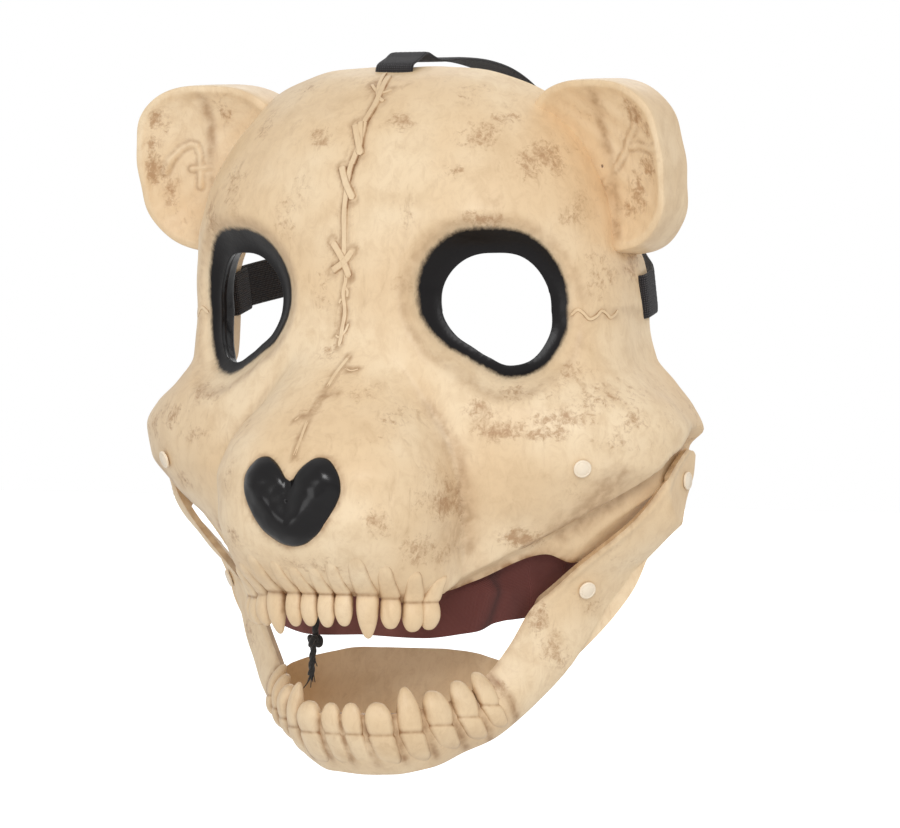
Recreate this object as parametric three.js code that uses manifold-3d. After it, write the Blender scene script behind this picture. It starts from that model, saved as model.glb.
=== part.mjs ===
import * as THREE from 'three';
import { mergeVertices } from 'three/addons/utils/BufferGeometryUtils.js';
import Module from 'manifold-3d';

const wasm = await Module();
wasm.setup();

// Bear skeleton mask: a moulded skull shell with ears, a separate jaw on two rivets,
// elastic straps and a strip of cloth behind the upper teeth.
// Millimetres. +X is the wearer's left, -Y the way the snout points, +Z up.
// The origin lies on the bridge, at the height of the eyes.

// Driving dimensions
const CROWN_HEIGHT = 80;
const LIP_DROP = 95;
const CHEEK_HALF = 100;
const SHELL_DEPTH = 85;
const WALL = 2;
const SNOUT_REACH = 38.5;
const SNOUT_HALF = 41.5;
const SNOUT_FILLET = 7;
const BROW_RISE = 3;
const EYE_SPACING = 91;
const EYE_HALF_WIDTH = 16.7;
const EYE_HALF_HEIGHT = 18.7;
const SOCKET_DEPTH = 9;
const EAR_REACH = 99;
const EAR_LEVEL = 46;
const EAR_HALF_WIDTH = 27;
const EAR_HALF_HEIGHT = 28.5;
const EAR_FRONT = 40;
const EAR_SIDE_DEPTH = 18.5;
const NOSE_HALF_WIDTH = 18;
const NOSE_HEIGHT = 29;
const NOSE_LEVEL = -63;
const NOSE_RISE = 3.6;
const INCISOR_LENGTH = 11.5;
const CANINE_LENGTH = 14.5;
const JAW_REACH = 70;
const JAW_DROP = 96;
const JAW_WALL = 2.2;
const JAW_GAP = 1.0;
const JAW_BULGE = 4.5;
const HINGE_DEPTH = 66;
const HINGE_DROP = 59;
const HINGE_INSET = 8.5;
const RIVET_DIAMETER = 6;
const RIVET_HEAD = 1.2;
const RIVET_SHANK = 3;
const BOSS_DIAMETER = 15;
const STRAP_WIDTH = 15;
const CROWN_STRAP_WIDTH = 14;
const STRAP_THICKNESS = 1.2;
const STRAP_REACH = 180;
const STRAP_RISE = 28;
const SLOT_INSET = 6;
const LINING_THICKNESS = 1.2;
const CORD_DIAMETER = 2.4;
const CLEARANCE = 0.3;

const V = (x, y, z) => new THREE.Vector3(x, y, z);
const clamp = (v, low, high) => Math.min(high, Math.max(low, v));
const smooth = (t) => clamp(t, 0, 1) ** 2 * (3 - 2 * clamp(t, 0, 1));
const mix = (a, b, t) => a + (b - a) * t;
const degrees = (radians) => THREE.MathUtils.radToDeg(radians);

// Smaller of two depths, rounded over a fillet where they meet
function roundedMin(a, b, fillet) {
  const h = clamp(0.5 + (0.5 * (b - a)) / fillet, 0, 1);
  return mix(b, a, h) - fillet * h * (1 - h);
}

// A smooth line through hand-placed points that never overshoots them
function lineThrough(xs, ys) {
  const steps = xs.slice(1).map((x, i) => (ys[i + 1] - ys[i]) / (x - xs[i]));
  const slopes = xs.map((_, i) => {
    if (i === 0) return steps[0];
    if (i === xs.length - 1) return steps[i - 1];
    const [before, after] = [steps[i - 1], steps[i]];
    return before * after > 0 ? (2 * before * after) / (before + after) : 0;
  });
  return (x) => {
    const at = clamp(x, xs[0], xs[xs.length - 1]);
    const next = clamp(xs.findIndex((v) => v > at), 1, xs.length - 1);
    const i = xs[xs.length - 1] <= at ? xs.length - 2 : next - 1;
    const span = xs[i + 1] - xs[i];
    const t = (at - xs[i]) / span;
    const hermite = (2 * t ** 3 - 3 * t ** 2 + 1) * ys[i] + (t ** 3 - 2 * t ** 2 + t) * span * slopes[i];
    return hermite + (3 * t ** 2 - 2 * t ** 3) * ys[i + 1] + (t ** 3 - t ** 2) * span * slopes[i + 1];
  };
}

// A table's named columns as lines over its first column
function columns(names, rows) {
  const first = rows.map((row) => row[0]);
  return Object.fromEntries(names.slice(1).map((name, i) => [
    name, lineThrough(first, rows.map((row) => row[i + 1])),
  ]));
}

// Levels are shares of the crown height above the eyes and of the lip drop below them
const heightOf = (level) => level * (level > 0 ? CROWN_HEIGHT : LIP_DROP);
const levelOf = (height) => height / (height > 0 ? CROWN_HEIGHT : LIP_DROP);

// Plan sections of the skull: front, widest and rear are shares of the shell depth,
// half and rearHalf of the cheek half width, sag of the crown height
const SKULL = columns(
  ['level', 'front', 'half', 'widest', 'rearHalf', 'rear', 'sag'],
  [
    [-1.10, -0.035, 0.63, 0.99, 0.63, 1.035, 0],
    [-1.00, -0.035, 0.68, 0.99, 0.68, 1.0, 0],
    [-0.90, -0.05, 0.74, 0.95, 0.75, 0.96, 0],
    [-0.76, -0.06, 0.83, 0.82, 0.84, 0.89, 0],
    [-0.64, -0.07, 0.93, 0.72, 0.94, 0.89, 0],
    [-0.55, -0.07, 0.99, 0.67, 0.96, 0.895, 0],
    [-0.45, -0.065, 1.0, 0.645, 0.97, 0.885, 0],
    [-0.36, -0.05, 0.955, 0.63, 0.935, 0.88, 0],
    [-0.28, -0.03, 0.87, 0.62, 0.88, 0.86, 0],
    [-0.19, -0.01, 0.805, 0.62, 0.81, 0.85, 0],
    [-0.05, 0, 0.79, 0.62, 0.79, 0.835, 0],
    [0.15, 0, 0.79, 0.61, 0.79, 0.825, 0.05],
    [0.35, 0, 0.78, 0.61, 0.78, 0.825, 0.175],
    [0.55, 0.035, 0.765, 0.635, 0.765, 0.825, 0.325],
    [0.73, 0.12, 0.755, 0.68, 0.755, 0.825, 0.46],
    [0.86, 0.24, 0.745, 0.73, 0.745, 0.825, 0.575],
    [0.95, 0.365, 0.735, 0.765, 0.735, 0.825, 0.64],
    [1.00, 0.50, 0.735, 0.775, 0.735, 0.825, 0.65],
  ],
);

// Plan sections of the snout: front is a share of its reach, half of its half width,
// and square is the power of the rounded outline
const SNOUT = columns(
  ['level', 'front', 'half', 'square'],
  [
    [-1.10, 0.31, 0.84, 2.0],
    [-1.01, 0.44, 0.915, 2.1],
    [-0.93, 0.70, 0.95, 2.3],
    [-0.82, 0.92, 0.97, 2.6],
    [-0.72, 1.0, 1.0, 2.7],
    [-0.60, 1.0, 1.0, 2.7],
    [-0.49, 0.91, 0.94, 2.6],
    [-0.40, 0.70, 0.83, 2.5],
    [-0.295, 0.42, 0.66, 2.3],
    [-0.19, 0.13, 0.50, 2.2],
    [-0.084, -0.16, 0.36, 2.1],
    [0.4, -0.16, 0.48, 2.1],
    [1.0, -0.16, 0.66, 2.1],
  ],
);

// Lower edge of the skull by its turn, from the midline (0) over the mouth corner (0.49)
// to the flap under the jaw hinge
const LIP = columns(
  ['turn', 'level'],
  [
    [0, -1.0],
    [0.12, -1.0],
    [0.24, -1.03],
    [0.365, -0.96],
    [0.49, -0.87],
    [0.545, -0.903],
    [0.65, -0.88],
    [0.70, -0.82],
    [0.75, -0.775],
    [0.80, -0.755],
    [1.0, -0.74],
  ],
);

// Outline of an eye hole: turn in degrees, outward 0 and up 90, radius as a share of its
// half width and half height
const EYE = columns(
  ['turn', 'radius'],
  [
    [0, 1.0],
    [30, 1.05],
    [60, 1.10],
    [90, 1.03],
    [120, 1.04],
    [150, 1.03],
    [180, 0.95],
    [210, 0.82],
    [240, 0.74],
    [265, 0.82],
    [290, 1.04],
    [310, 1.12],
    [330, 1.08],
    [360, 1.0],
  ],
);

// Upper edge of the recess in which the jaw turns: radius as a share of its reach,
// angle in degrees below the line from the hinge to the front
const RECESS = columns(
  ['radius', 'angle'],
  [
    [0.2, -40],
    [0.285, -15],
    [0.37, 12],
    [0.47, 21],
    [0.57, 26],
    [0.72, 30],
    [0.90, 33],
  ],
);
const CONE_TOP = 0.99;
const CONE_FALL = 0.0126;
const CONE_ROUND = 0.17;
const RECESS_EDGE = 3;
const RECESS_DISC = 0.25;

const snoutBack = 0.14 * SHELL_DEPTH;
const hinge = V(CHEEK_HALF - HINGE_INSET, HINGE_DEPTH, -HINGE_DROP);

// Largest half width that clears the jaw as it turns: a rounded cone about the hinge line,
// flat in the middle, or a surface that stands off it by an even distance
function jawLimit(y, z, off = 0) {
  const radius = Math.hypot(y - hinge.y, z - hinge.z);
  const soft = Math.hypot(radius, CONE_ROUND * JAW_REACH);
  const steep = CONE_FALL * CHEEK_HALF;
  const cone = CONE_TOP * CHEEK_HALF - steep * (soft - CONE_ROUND * JAW_REACH);
  return Math.min(hinge.x + off, cone + off * Math.hypot(1, (steep * radius) / soft));
}

function recessWeight(y, z) {
  const radius = Math.hypot(y - hinge.y, z - hinge.z);
  const angle = degrees(Math.atan2(hinge.z - z, hinge.y - y));
  const below = angle < -150 ? angle + 360 : angle;
  const sector = THREE.MathUtils.degToRad(below - RECESS.angle(radius / JAW_REACH)) * radius;
  const inside = Math.max(sector, RECESS_DISC * JAW_REACH - radius);
  return smooth((inside + RECESS_EDGE) / RECESS_EDGE);
}

// Depth of the face at a place on the mask, snout and brow included
function faceDepth(x, z, depth) {
  const level = levelOf(z);
  const front = -SNOUT_REACH * SNOUT.front(level);
  const half = SNOUT_HALF * SNOUT.half(level);
  const power = SNOUT.square(level);
  const q = Math.abs(x) / half;
  const inner = snoutBack - (snoutBack - front) * (1 - Math.min(q, 1) ** power) ** (1 / power);
  const snout = inner + 3 * half * Math.max(0, q - 1) + 2 * Math.max(0, level + 0.084) * LIP_DROP;
  const withSnout = roundedMin(depth, snout, SNOUT_FILLET);
  const across = (Math.abs(x) - EYE_SPACING / 2) / (1.44 * EYE_HALF_WIDTH);
  const up = (z - 1.6 * EYE_HALF_HEIGHT) / (0.7 * EYE_HALF_HEIGHT);
  return withSnout - BROW_RISE * Math.exp(-across * across - up * up);
}

// Distance from the middle of an eye hole, as a share of the hole's own size
function eyeShare(x, z) {
  const across = (Math.abs(x) - EYE_SPACING / 2) / EYE_HALF_WIDTH;
  const up = z / EYE_HALF_HEIGHT + 0.1;
  const angle = Math.atan2(up, across);
  return Math.hypot(across, up) / eyeOutline(angle);
}

function eyeOutline(angle) {
  const turn = degrees(angle);
  return EYE.radius(turn < 0 ? turn + 360 : turn);
}

// Outer skin of the skull: turn runs from the midline (0) over the widest line (0.8)
// to the rear edge (1)
function skullPoint(turn, level) {
  const angle = clamp(turn / 0.8, 0, 1) * (Math.PI / 2);
  const back = clamp((turn - 0.8) / 0.2, 0, 1);
  const half = SKULL.half(level);
  const middle = SKULL.widest(level) * SHELL_DEPTH;
  const front = SKULL.front(level) * SHELL_DEPTH;
  const x = CHEEK_HALF * (half * Math.sin(angle) + (SKULL.rearHalf(level) - half) * back);
  const z = heightOf(level) - CROWN_HEIGHT * SKULL.sag(level) * (1 - Math.cos(angle)) ** 1.4;
  const side = middle - (middle - front) * Math.cos(angle);
  const y = side + (SKULL.rear(level) * SHELL_DEPTH - middle) * back;
  const socket = SOCKET_DEPTH * smooth((1.75 - eyeShare(x, z)) / 0.75);
  const depth = faceDepth(x, z, y) + socket;
  const over = Math.max(0, x - jawLimit(depth, z));
  return V(x - over * recessWeight(depth, z), depth, z);
}

// Points spaced evenly by length along a line of points
function evenly(points, count) {
  const lengths = [0];
  for (let i = 1; i < points.length; i += 1) {
    lengths.push(lengths[i - 1] + points[i].distanceTo(points[i - 1]));
  }
  const total = lengths[lengths.length - 1];
  const out = [];
  let at = 0;
  for (let k = 0; k < count; k += 1) {
    const want = (total * k) / (count - 1);
    while (at < points.length - 2 && lengths[at + 1] < want) at += 1;
    const t = (want - lengths[at]) / (lengths[at + 1] - lengths[at]);
    out.push(points[at].clone().lerp(points[at + 1], clamp(t, 0, 1)));
  }
  return out;
}

// A row from one side to the other, mirrored about the midline
function mirrored(half) {
  const other = half.slice(1).map((p) => V(-p.x, p.y, p.z)).reverse();
  return [...other, ...half];
}

const SKULL_ROWS = 21;
const SNOUT_COLUMNS = 6;
const SIDE_COLUMNS = 11;
const LIP_SHARE = 0.24;
const LIP_TOP = -0.6;

function skullRows() {
  const rows = [];
  for (let j = 0; j < SKULL_ROWS; j += 1) {
    const up = j / (SKULL_ROWS - 1);
    const dense = [];
    for (let i = 0; i <= 240; i += 1) {
      const turn = i / 240;
      const low = mix(LIP.level(turn), LIP_TOP, up / LIP_SHARE);
      const high = mix(LIP_TOP, 1, (up - LIP_SHARE) / (1 - LIP_SHARE));
      dense.push(skullPoint(turn, up < LIP_SHARE ? low : high));
    }
    const crease = dense.findIndex((p) => p.x > 1.01 * SNOUT_HALF * SNOUT.half(levelOf(p.z)));
    const snout = evenly(dense.slice(0, crease + 1), SNOUT_COLUMNS + 1);
    const side = evenly(dense.slice(crease), SIDE_COLUMNS + 1);
    rows.push(mirrored([...snout, ...side.slice(1)]));
  }
  return rows;
}

// Unit normals of a grid of points, taken across its neighbours
function gridNormals(rows) {
  const [last, end] = [rows.length - 1, rows[0].length - 1];
  return rows.map((row, j) => row.map((_, i) => {
    const along = row[Math.min(i + 1, end)].clone().sub(row[Math.max(i - 1, 0)]);
    const up = rows[Math.min(j + 1, last)][i].clone().sub(rows[Math.max(j - 1, 0)][i]);
    return along.cross(up).normalize();
  }));
}

// Closed sheet of the given wall behind a grid of outer points
function sheet(rows, wall) {
  const normals = gridNormals(rows);
  const behind = rows.map((row, j) => row.map((p, i) => p.clone().addScaledVector(normals[j][i], -wall)));
  const [m, n] = [rows.length, rows[0].length];
  const points = [...rows.flat(), ...behind.flat()];
  const faces = [];
  const quad = (a, b, c, d) => faces.push([a, b, c], [a, c, d]);
  const at = (j, i, back) => back * m * n + j * n + i;
  for (let j = 0; j < m - 1; j += 1) {
    for (let i = 0; i < n - 1; i += 1) {
      quad(at(j, i, 0), at(j, i + 1, 0), at(j + 1, i + 1, 0), at(j + 1, i, 0));
      quad(at(j, i, 1), at(j + 1, i, 1), at(j + 1, i + 1, 1), at(j, i + 1, 1));
    }
  }
  for (let i = 0; i < n - 1; i += 1) {
    quad(at(0, i + 1, 0), at(0, i, 0), at(0, i, 1), at(0, i + 1, 1));
    quad(at(m - 1, i, 0), at(m - 1, i + 1, 0), at(m - 1, i + 1, 1), at(m - 1, i, 1));
  }
  for (let j = 0; j < m - 1; j += 1) {
    quad(at(j, 0, 0), at(j + 1, 0, 0), at(j + 1, 0, 1), at(j, 0, 1));
    quad(at(j + 1, n - 1, 0), at(j, n - 1, 0), at(j, n - 1, 1), at(j + 1, n - 1, 1));
  }
  return solidOf(points, faces);
}

// Closed solid through a stack of rings, with a point at each end's middle
function ringStack(rings) {
  const count = rings[0].length;
  const middle = (ring) => ring.reduce((sum, p) => sum.add(p), V(0, 0, 0)).divideScalar(count);
  const points = [...rings.flat(), middle(rings[0]), middle(rings[rings.length - 1])];
  const faces = [];
  for (let k = 0; k < rings.length - 1; k += 1) {
    for (let i = 0; i < count; i += 1) {
      const [a, b] = [k * count + i, k * count + ((i + 1) % count)];
      faces.push([a, b, b + count], [a, b + count, a + count]);
    }
  }
  for (let i = 0; i < count; i += 1) {
    const next = (i + 1) % count;
    const top = (rings.length - 1) * count;
    faces.push([next, i, points.length - 2], [top + i, top + next, points.length - 1]);
  }
  return solidOf(points, faces);
}

// A manifold solid from points and faces, turned so that its volume is positive
function solidOf(points, faces) {
  const volume = faces.reduce((sum, [a, b, c]) => (
    sum + points[a].dot(points[b].clone().cross(points[c]))
  ), 0);
  const turned = volume > 0 ? faces : faces.map(([a, b, c]) => [a, c, b]);
  return new wasm.Manifold(new wasm.Mesh({
    numProp: 3,
    vertProperties: new Float32Array(points.flatMap((p) => [p.x, p.y, p.z])),
    triVerts: new Uint32Array(turned.flat()),
  }));
}

// A manifold solid from one of three's geometries
function solidFrom(geometry) {
  const bare = geometry.clone();
  bare.deleteAttribute('normal');
  bare.deleteAttribute('uv');
  const merged = mergeVertices(bare, 1e-4);
  return new wasm.Manifold(new wasm.Mesh({
    numProp: 3,
    vertProperties: Float32Array.from(merged.attributes.position.array),
    triVerts: Uint32Array.from(merged.index.array),
  }));
}

// The solid without the specks that a cut can leave where two walls just meet
function withoutSpecks(solid) {
  const pieces = solid.decompose().filter((piece) => piece.volume() > 0.01);
  return pieces.reduce((all, piece) => all.add(piece));
}

function meshOf(name, solid, colour, roughness) {
  const { numProp, vertProperties, triVerts } = withoutSpecks(solid).getMesh();
  const positions = [];
  for (let i = 0; i < vertProperties.length; i += numProp) {
    positions.push(vertProperties[i], vertProperties[i + 1], vertProperties[i + 2]);
  }
  const geometry = new THREE.BufferGeometry();
  geometry.setAttribute('position', new THREE.Float32BufferAttribute(positions, 3));
  geometry.setIndex(Array.from(triVerts));
  geometry.computeVertexNormals();
  const material = new THREE.MeshStandardMaterial({ color: colour, roughness, metalness: 0 });
  const mesh = new THREE.Mesh(geometry, material);
  mesh.name = name;
  return mesh;
}

// A cylinder along a direction, with its middle at a point
function pin(centre, direction, diameter, length, sides = 8) {
  const geometry = new THREE.CylinderGeometry(diameter / 2, diameter / 2, length, sides);
  const turn = new THREE.Quaternion().setFromUnitVectors(V(0, 1, 0), direction);
  geometry.applyQuaternion(turn);
  geometry.translate(centre.x, centre.y, centre.z);
  return solidFrom(geometry);
}

// A flat outline in the YZ or XY plane pushed out to a width
function extruded(outline, width, place) {
  const geometry = new THREE.ExtrudeGeometry(new THREE.Shape(outline), {
    depth: width, bevelEnabled: false,
  });
  geometry.translate(0, 0, -width / 2);
  geometry.applyMatrix4(place);
  return solidFrom(geometry);
}

// Skull shell
const rows = skullRows();
const normals = gridNormals(rows);
let skull = sheet(rows, WALL);

// The space inside the shell, which trims what is moulded onto it
const inner = rows.map((row, j) => row.map((p, i) => p.clone().addScaledVector(normals[j][i], -0.5 * WALL)));
const hollow = ringStack(inner);

// Eye holes, cut straight back
const EYE_SIDES = 20;
for (const side of [-1, 1]) {
  const outline = [];
  for (let i = 0; i < EYE_SIDES; i += 1) {
    const angle = (i / EYE_SIDES) * 2 * Math.PI;
    const radius = eyeOutline(angle);
    outline.push(new THREE.Vector2(
      side * (EYE_SPACING / 2 + EYE_HALF_WIDTH * radius * Math.cos(angle)),
      EYE_HALF_HEIGHT * (radius * Math.sin(angle) - 0.1),
    ));
  }
  const upright = new THREE.Matrix4().makeRotationX(Math.PI / 2);
  upright.setPosition(0, 0.3 * SHELL_DEPTH, 0);
  skull = skull.subtract(extruded(outline, SHELL_DEPTH, upright));
}

// Ears: a dished front with a raised rim, a side wall, and a hollow back
const EAR_SIDES = 18;
const EAR = [
  [1.03, 1.0],
  [1.0, 0.1],
  [0.95, 0],
  [0.86, 0.1],
  [0.5, 0.32],
  [0.1, 0.36],
  [0.1, 0.36 + WALL / EAR_SIDE_DEPTH],
  [0.5, 0.32 + WALL / EAR_SIDE_DEPTH],
  [0.84, 0.12 + WALL / EAR_SIDE_DEPTH],
  [0.9, 0.2 + WALL / EAR_SIDE_DEPTH],
  [0.94, 1.0],
];

function earRing(side, scale, back) {
  const ring = [];
  for (let i = 0; i < EAR_SIDES; i += 1) {
    const angle = (i / EAR_SIDES) * 2 * Math.PI;
    const [c, s] = [Math.cos(angle), Math.sin(angle)];
    const round = (Math.abs(c) ** 2.7 + Math.abs(s) ** 2.7) ** (-1 / 2.7);
    const across = EAR_REACH - EAR_HALF_WIDTH + EAR_HALF_WIDTH * scale * round * c;
    const up = EAR_HALF_HEIGHT * scale * round * s;
    const lean = 0.25 * (up - 0.14 * EAR_HALF_HEIGHT) + 0.2 * EAR_HALF_WIDTH * scale * round * c;
    ring.push(V(side * across, EAR_FRONT - lean + EAR_SIDE_DEPTH * back, EAR_LEVEL + up));
  }
  return ring;
}

function ear(side) {
  const rings = EAR.map(([scale, back]) => earRing(side, scale, back));
  const count = EAR_SIDES;
  const points = rings.flat();
  const faces = [];
  for (let k = 0; k < rings.length; k += 1) {
    const over = (k + 1) % rings.length;
    for (let i = 0; i < count; i += 1) {
      const next = (i + 1) % count;
      faces.push([k * count + i, k * count + next, over * count + next]);
      faces.push([k * count + i, over * count + next, over * count + i]);
    }
  }
  return solidOf(points, faces);
}

for (const side of [-1, 1]) {
  const cap = ringStack([earRing(side, 0.12, 0.36), earRing(side, 0.12, 0.36 + WALL / EAR_SIDE_DEPTH)]);
  skull = skull.add(ear(side).add(cap).subtract(hollow));
}

// Heart-shaped nose raised from the front of the snout
const NOSE_SIDES = 20;
const NOSE_SPAN = 29;

function noseRing(scale, rise) {
  const ring = [];
  for (let i = 0; i < NOSE_SIDES; i += 1) {
    const a = ((i + 0.5) / NOSE_SIDES) * 2 * Math.PI;
    const up = 13 * Math.cos(a) - 5 * Math.cos(2 * a) - 2 * Math.cos(3 * a) - Math.cos(4 * a);
    const x = NOSE_HALF_WIDTH * scale * Math.sin(a) ** 3;
    const z = NOSE_LEVEL + (NOSE_HEIGHT * scale * (up + 2.5)) / NOSE_SPAN;
    ring.push(V(x, faceDepth(x, z, snoutBack) - rise, z));
  }
  return ring;
}

skull = skull.add(ringStack([
  noseRing(1, -0.5 * WALL),
  noseRing(1, 0.4 * NOSE_RISE),
  noseRing(0.93, 0.8 * NOSE_RISE),
  noseRing(0.75, NOSE_RISE),
]));

// A tooth: rings across its run, from the root in the jaw to the tip
const TOOTH_SIDES = 6;
const TOOTH = [
  { along: -0.55, wide: 0.75, deep: 0.7 },
  { along: 0, wide: 1, deep: 1 },
  { along: 0.45, wide: 0.98, deep: 0.95 },
  { along: 0.82, wide: 0.72, deep: 0.66 },
  { along: 1, wide: 0.3, deep: 0.25 },
];

function tooth(base, run, width, length, up) {
  const outward = V(run.y, -run.x, 0);
  const rings = TOOTH.map(({ along, wide, deep }) => {
    const ring = [];
    for (let i = 0; i < TOOTH_SIDES; i += 1) {
      const angle = ((i + 0.5) / TOOTH_SIDES) * 2 * Math.PI;
      const p = base.clone();
      p.addScaledVector(run, 0.5 * width * wide * Math.cos(angle));
      p.addScaledVector(outward, 0.42 * width * deep * Math.sin(angle));
      p.z += up * length * along;
      ring.push(p);
    }
    return ring;
  });
  return ringStack(rings);
}

// Teeth from the midline to the side; across is a share of the half width of the arch
const UPPER_TEETH = [
  { across: 0.075, width: 5.2, length: INCISOR_LENGTH },
  { across: 0.225, width: 5.4, length: INCISOR_LENGTH },
  { across: 0.42, width: 6.4, length: CANINE_LENGTH },
  { across: 0.56, width: 5.6, length: 0.85 * INCISOR_LENGTH },
  { across: 0.69, width: 5.8, length: 0.85 * INCISOR_LENGTH },
  { across: 0.79, width: 5.8, length: 0.85 * INCISOR_LENGTH },
];

const lipTurn = (x) => (0.8 * Math.asin(Math.abs(x) / (CHEEK_HALF * SKULL.half(-1)))) / (Math.PI / 2);
const lipHeight = (x) => heightOf(LIP.level(lipTurn(x)));

for (const side of [-1, 1]) {
  for (const { across, width, length } of UPPER_TEETH) {
    const x = side * across * SNOUT_HALF;
    const at = (v) => V(v, faceDepth(v, lipHeight(v), 0.14 * SHELL_DEPTH), lipHeight(v));
    const run = at(x + 0.5).sub(at(x - 0.5)).setZ(0).normalize();
    const base = at(x).addScaledVector(V(-run.y, run.x, 0), 0.8 * WALL);
    skull = skull.add(tooth(base, run, width, length, -1));
  }
}

// Jaw: from the tooth line (upper) to the outer bottom line (lower) to the edge of the
// chin scoop (floor). Sides are shares of the cheek half width, reaches and drops are
// measured from the hinge.
const JAW = columns(
  ['run', 'upSide', 'upReach', 'upDrop', 'lowSide', 'lowReach', 'lowDrop', 'floorSide', 'floorReach', 'floorDrop', 'bulge'],
  [
    [0, 0, 0.99, 0.795, 0, 0.77, 1.0, 0, 0.16, 0.62, 0.6],
    [1, 0.12, 0.96, 0.795, 0.12, 0.743, 1.0, 0.10, 0.16, 0.62, 0.7],
    [2, 0.21, 0.876, 0.785, 0.21, 0.657, 0.984, 0.20, 0.17, 0.63, 0.85],
    [3, 0.28, 0.757, 0.765, 0.29, 0.557, 0.948, 0.29, 0.185, 0.64, 1],
    [4, 0.34, 0.63, 0.735, 0.38, 0.486, 0.906, 0.375, 0.21, 0.655, 1],
    [5, 0.395, 0.53, 0.66, 0.46, 0.414, 0.833, 0.45, 0.24, 0.68, 0.9],
    [6, 0.455, 0.479, 0.5625, 0.55, 0.314, 0.729, 0.505, 0.28, 0.70, 0.7],
    [7, 0.517, 0.443, 0.443, 0.635, 0.205, 0.585, 0.61, 0.19, 0.61, 0.55],
    [8, 0.587, 0.414, 0.365, 0.705, 0.10, 0.44, 0.72, 0.07, 0.475, 0.45],
    [9, 0.655, 0.40, 0.302, 0.775, 0.03, 0.315, 0.79, -0.01, 0.35, 0.35],
    [10, 0.80, 0.307, 0.156, 0.84, -0.03, 0.165, 0.85, -0.08, 0.20, 0.2],
    [11, 0.88, 0.285, 0.026, 0.885, -0.07, 0.06, 0.89, -0.12, 0.08, 0.1],
    [12, 0.93, 0.135, -0.03, 0.92, -0.07, -0.015, 0.92, -0.13, -0.01, 0],
    [13, 0.94, 0.0, -0.095, 0.935, -0.055, -0.085, 0.935, -0.115, -0.07, 0],
  ],
);
const JAW_RUNS = 13;

const jawPlace = (side, reach, drop) => V(
  side * CHEEK_HALF, hinge.y - reach * JAW_REACH, hinge.z - drop * JAW_DROP,
);

function jawColumn(run) {
  const upper = jawPlace(JAW.upSide(run), JAW.upReach(run), JAW.upDrop(run));
  const lower = jawPlace(JAW.lowSide(run), JAW.lowReach(run), JAW.lowDrop(run));
  const floor = jawPlace(JAW.floorSide(run), JAW.floorReach(run), JAW.floorDrop(run));
  const turn = clamp(run / 5, 0, 1) * (Math.PI / 2.6);
  const out = V(Math.sin(turn), -Math.cos(turn), -0.25).normalize();
  const column = [];
  for (let k = 0; k <= 16; k += 1) {
    const v = k / 16;
    const p = upper.clone().lerp(lower, v);
    p.addScaledVector(out, 4 * v * (1 - v) * JAW_BULGE * JAW.bulge(run));
    column.push(p);
  }
  const under = V(mix(lower.x, floor.x, 0.5), mix(lower.y, floor.y, 0.6), mix(lower.z, floor.z, -0.05));
  for (let k = 1; k <= 16; k += 1) {
    const v = k / 16;
    const p = lower.clone().lerp(under, v);
    column.push(p.lerp(under.clone().lerp(floor, v), v));
  }
  return column.map((p) => {
    const radius = Math.hypot(p.y - hinge.y, p.z - hinge.z) / JAW_REACH;
    const clear = jawLimit(p.y, p.z, JAW_GAP + JAW_WALL);
    const near = smooth((0.95 - radius) / 0.25);
    return V(p.x + Math.max(0, clear - p.x) * near, p.y, p.z);
  });
}

const JAW_COLUMNS = 17;
const JAW_ROWS = 10;
const jawColumns = [];
for (let i = 0; i < JAW_COLUMNS; i += 1) {
  jawColumns.push(evenly(jawColumn((JAW_RUNS * i) / (JAW_COLUMNS - 1)), JAW_ROWS));
}
const jawRows = [];
for (let j = 0; j < JAW_ROWS; j += 1) {
  jawRows.push(mirrored(jawColumns.map((column) => column[j])));
}
let jaw = sheet([...jawRows].reverse(), JAW_WALL);

// Lower teeth stand on the jaw's upper edge; rise is how far they reach above it
const LOWER_TEETH = [
  { run: 0.28, width: 6, rise: 0.3 * INCISOR_LENGTH },
  { run: 0.9, width: 6.2, rise: 0.3 * INCISOR_LENGTH },
  { run: 1.72, width: 7, rise: 0.55 * CANINE_LENGTH },
  { run: 2.55, width: 7, rise: 0.45 * INCISOR_LENGTH },
  { run: 3.45, width: 7.6, rise: 0.5 * INCISOR_LENGTH },
  { run: 4.35, width: 7.6, rise: 0.5 * INCISOR_LENGTH },
];

for (const side of [-1, 1]) {
  for (const { run, width, rise } of LOWER_TEETH) {
    const at = (r) => {
      const p = jawPlace(JAW.upSide(r), JAW.upReach(r), JAW.upDrop(r));
      return V(side * p.x, p.y, p.z);
    };
    const along = at(run + 0.05).sub(at(run - 0.05)).multiplyScalar(side).setZ(0).normalize();
    const base = at(run).addScaledVector(V(-along.y, along.x, 0), 0.5 * JAW_WALL);
    base.z -= 0.45 * INCISOR_LENGTH;
    jaw = jaw.add(tooth(base, along, width, rise + 0.45 * INCISOR_LENGTH, 1));
  }
}

// Hinge: a flat boss on each flap, and a rivet through the jaw and the boss
const BOSS_DEPTH = 2 * WALL;
const bore = RIVET_SHANK + 2 * CLEARANCE;
const rivets = {};

function rivet(at, outward, grip) {
  const shank = grip + 2 * CLEARANCE + RIVET_HEAD;
  const along = (distance) => at.clone().addScaledVector(outward, distance);
  return pin(along(-0.5 * grip), outward, RIVET_SHANK, shank)
    .add(pin(along(CLEARANCE + 0.5 * RIVET_HEAD), outward, RIVET_DIAMETER, RIVET_HEAD))
    .add(pin(along(-grip - CLEARANCE - 0.5 * RIVET_HEAD), outward, RIVET_DIAMETER, RIVET_HEAD));
}

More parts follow.
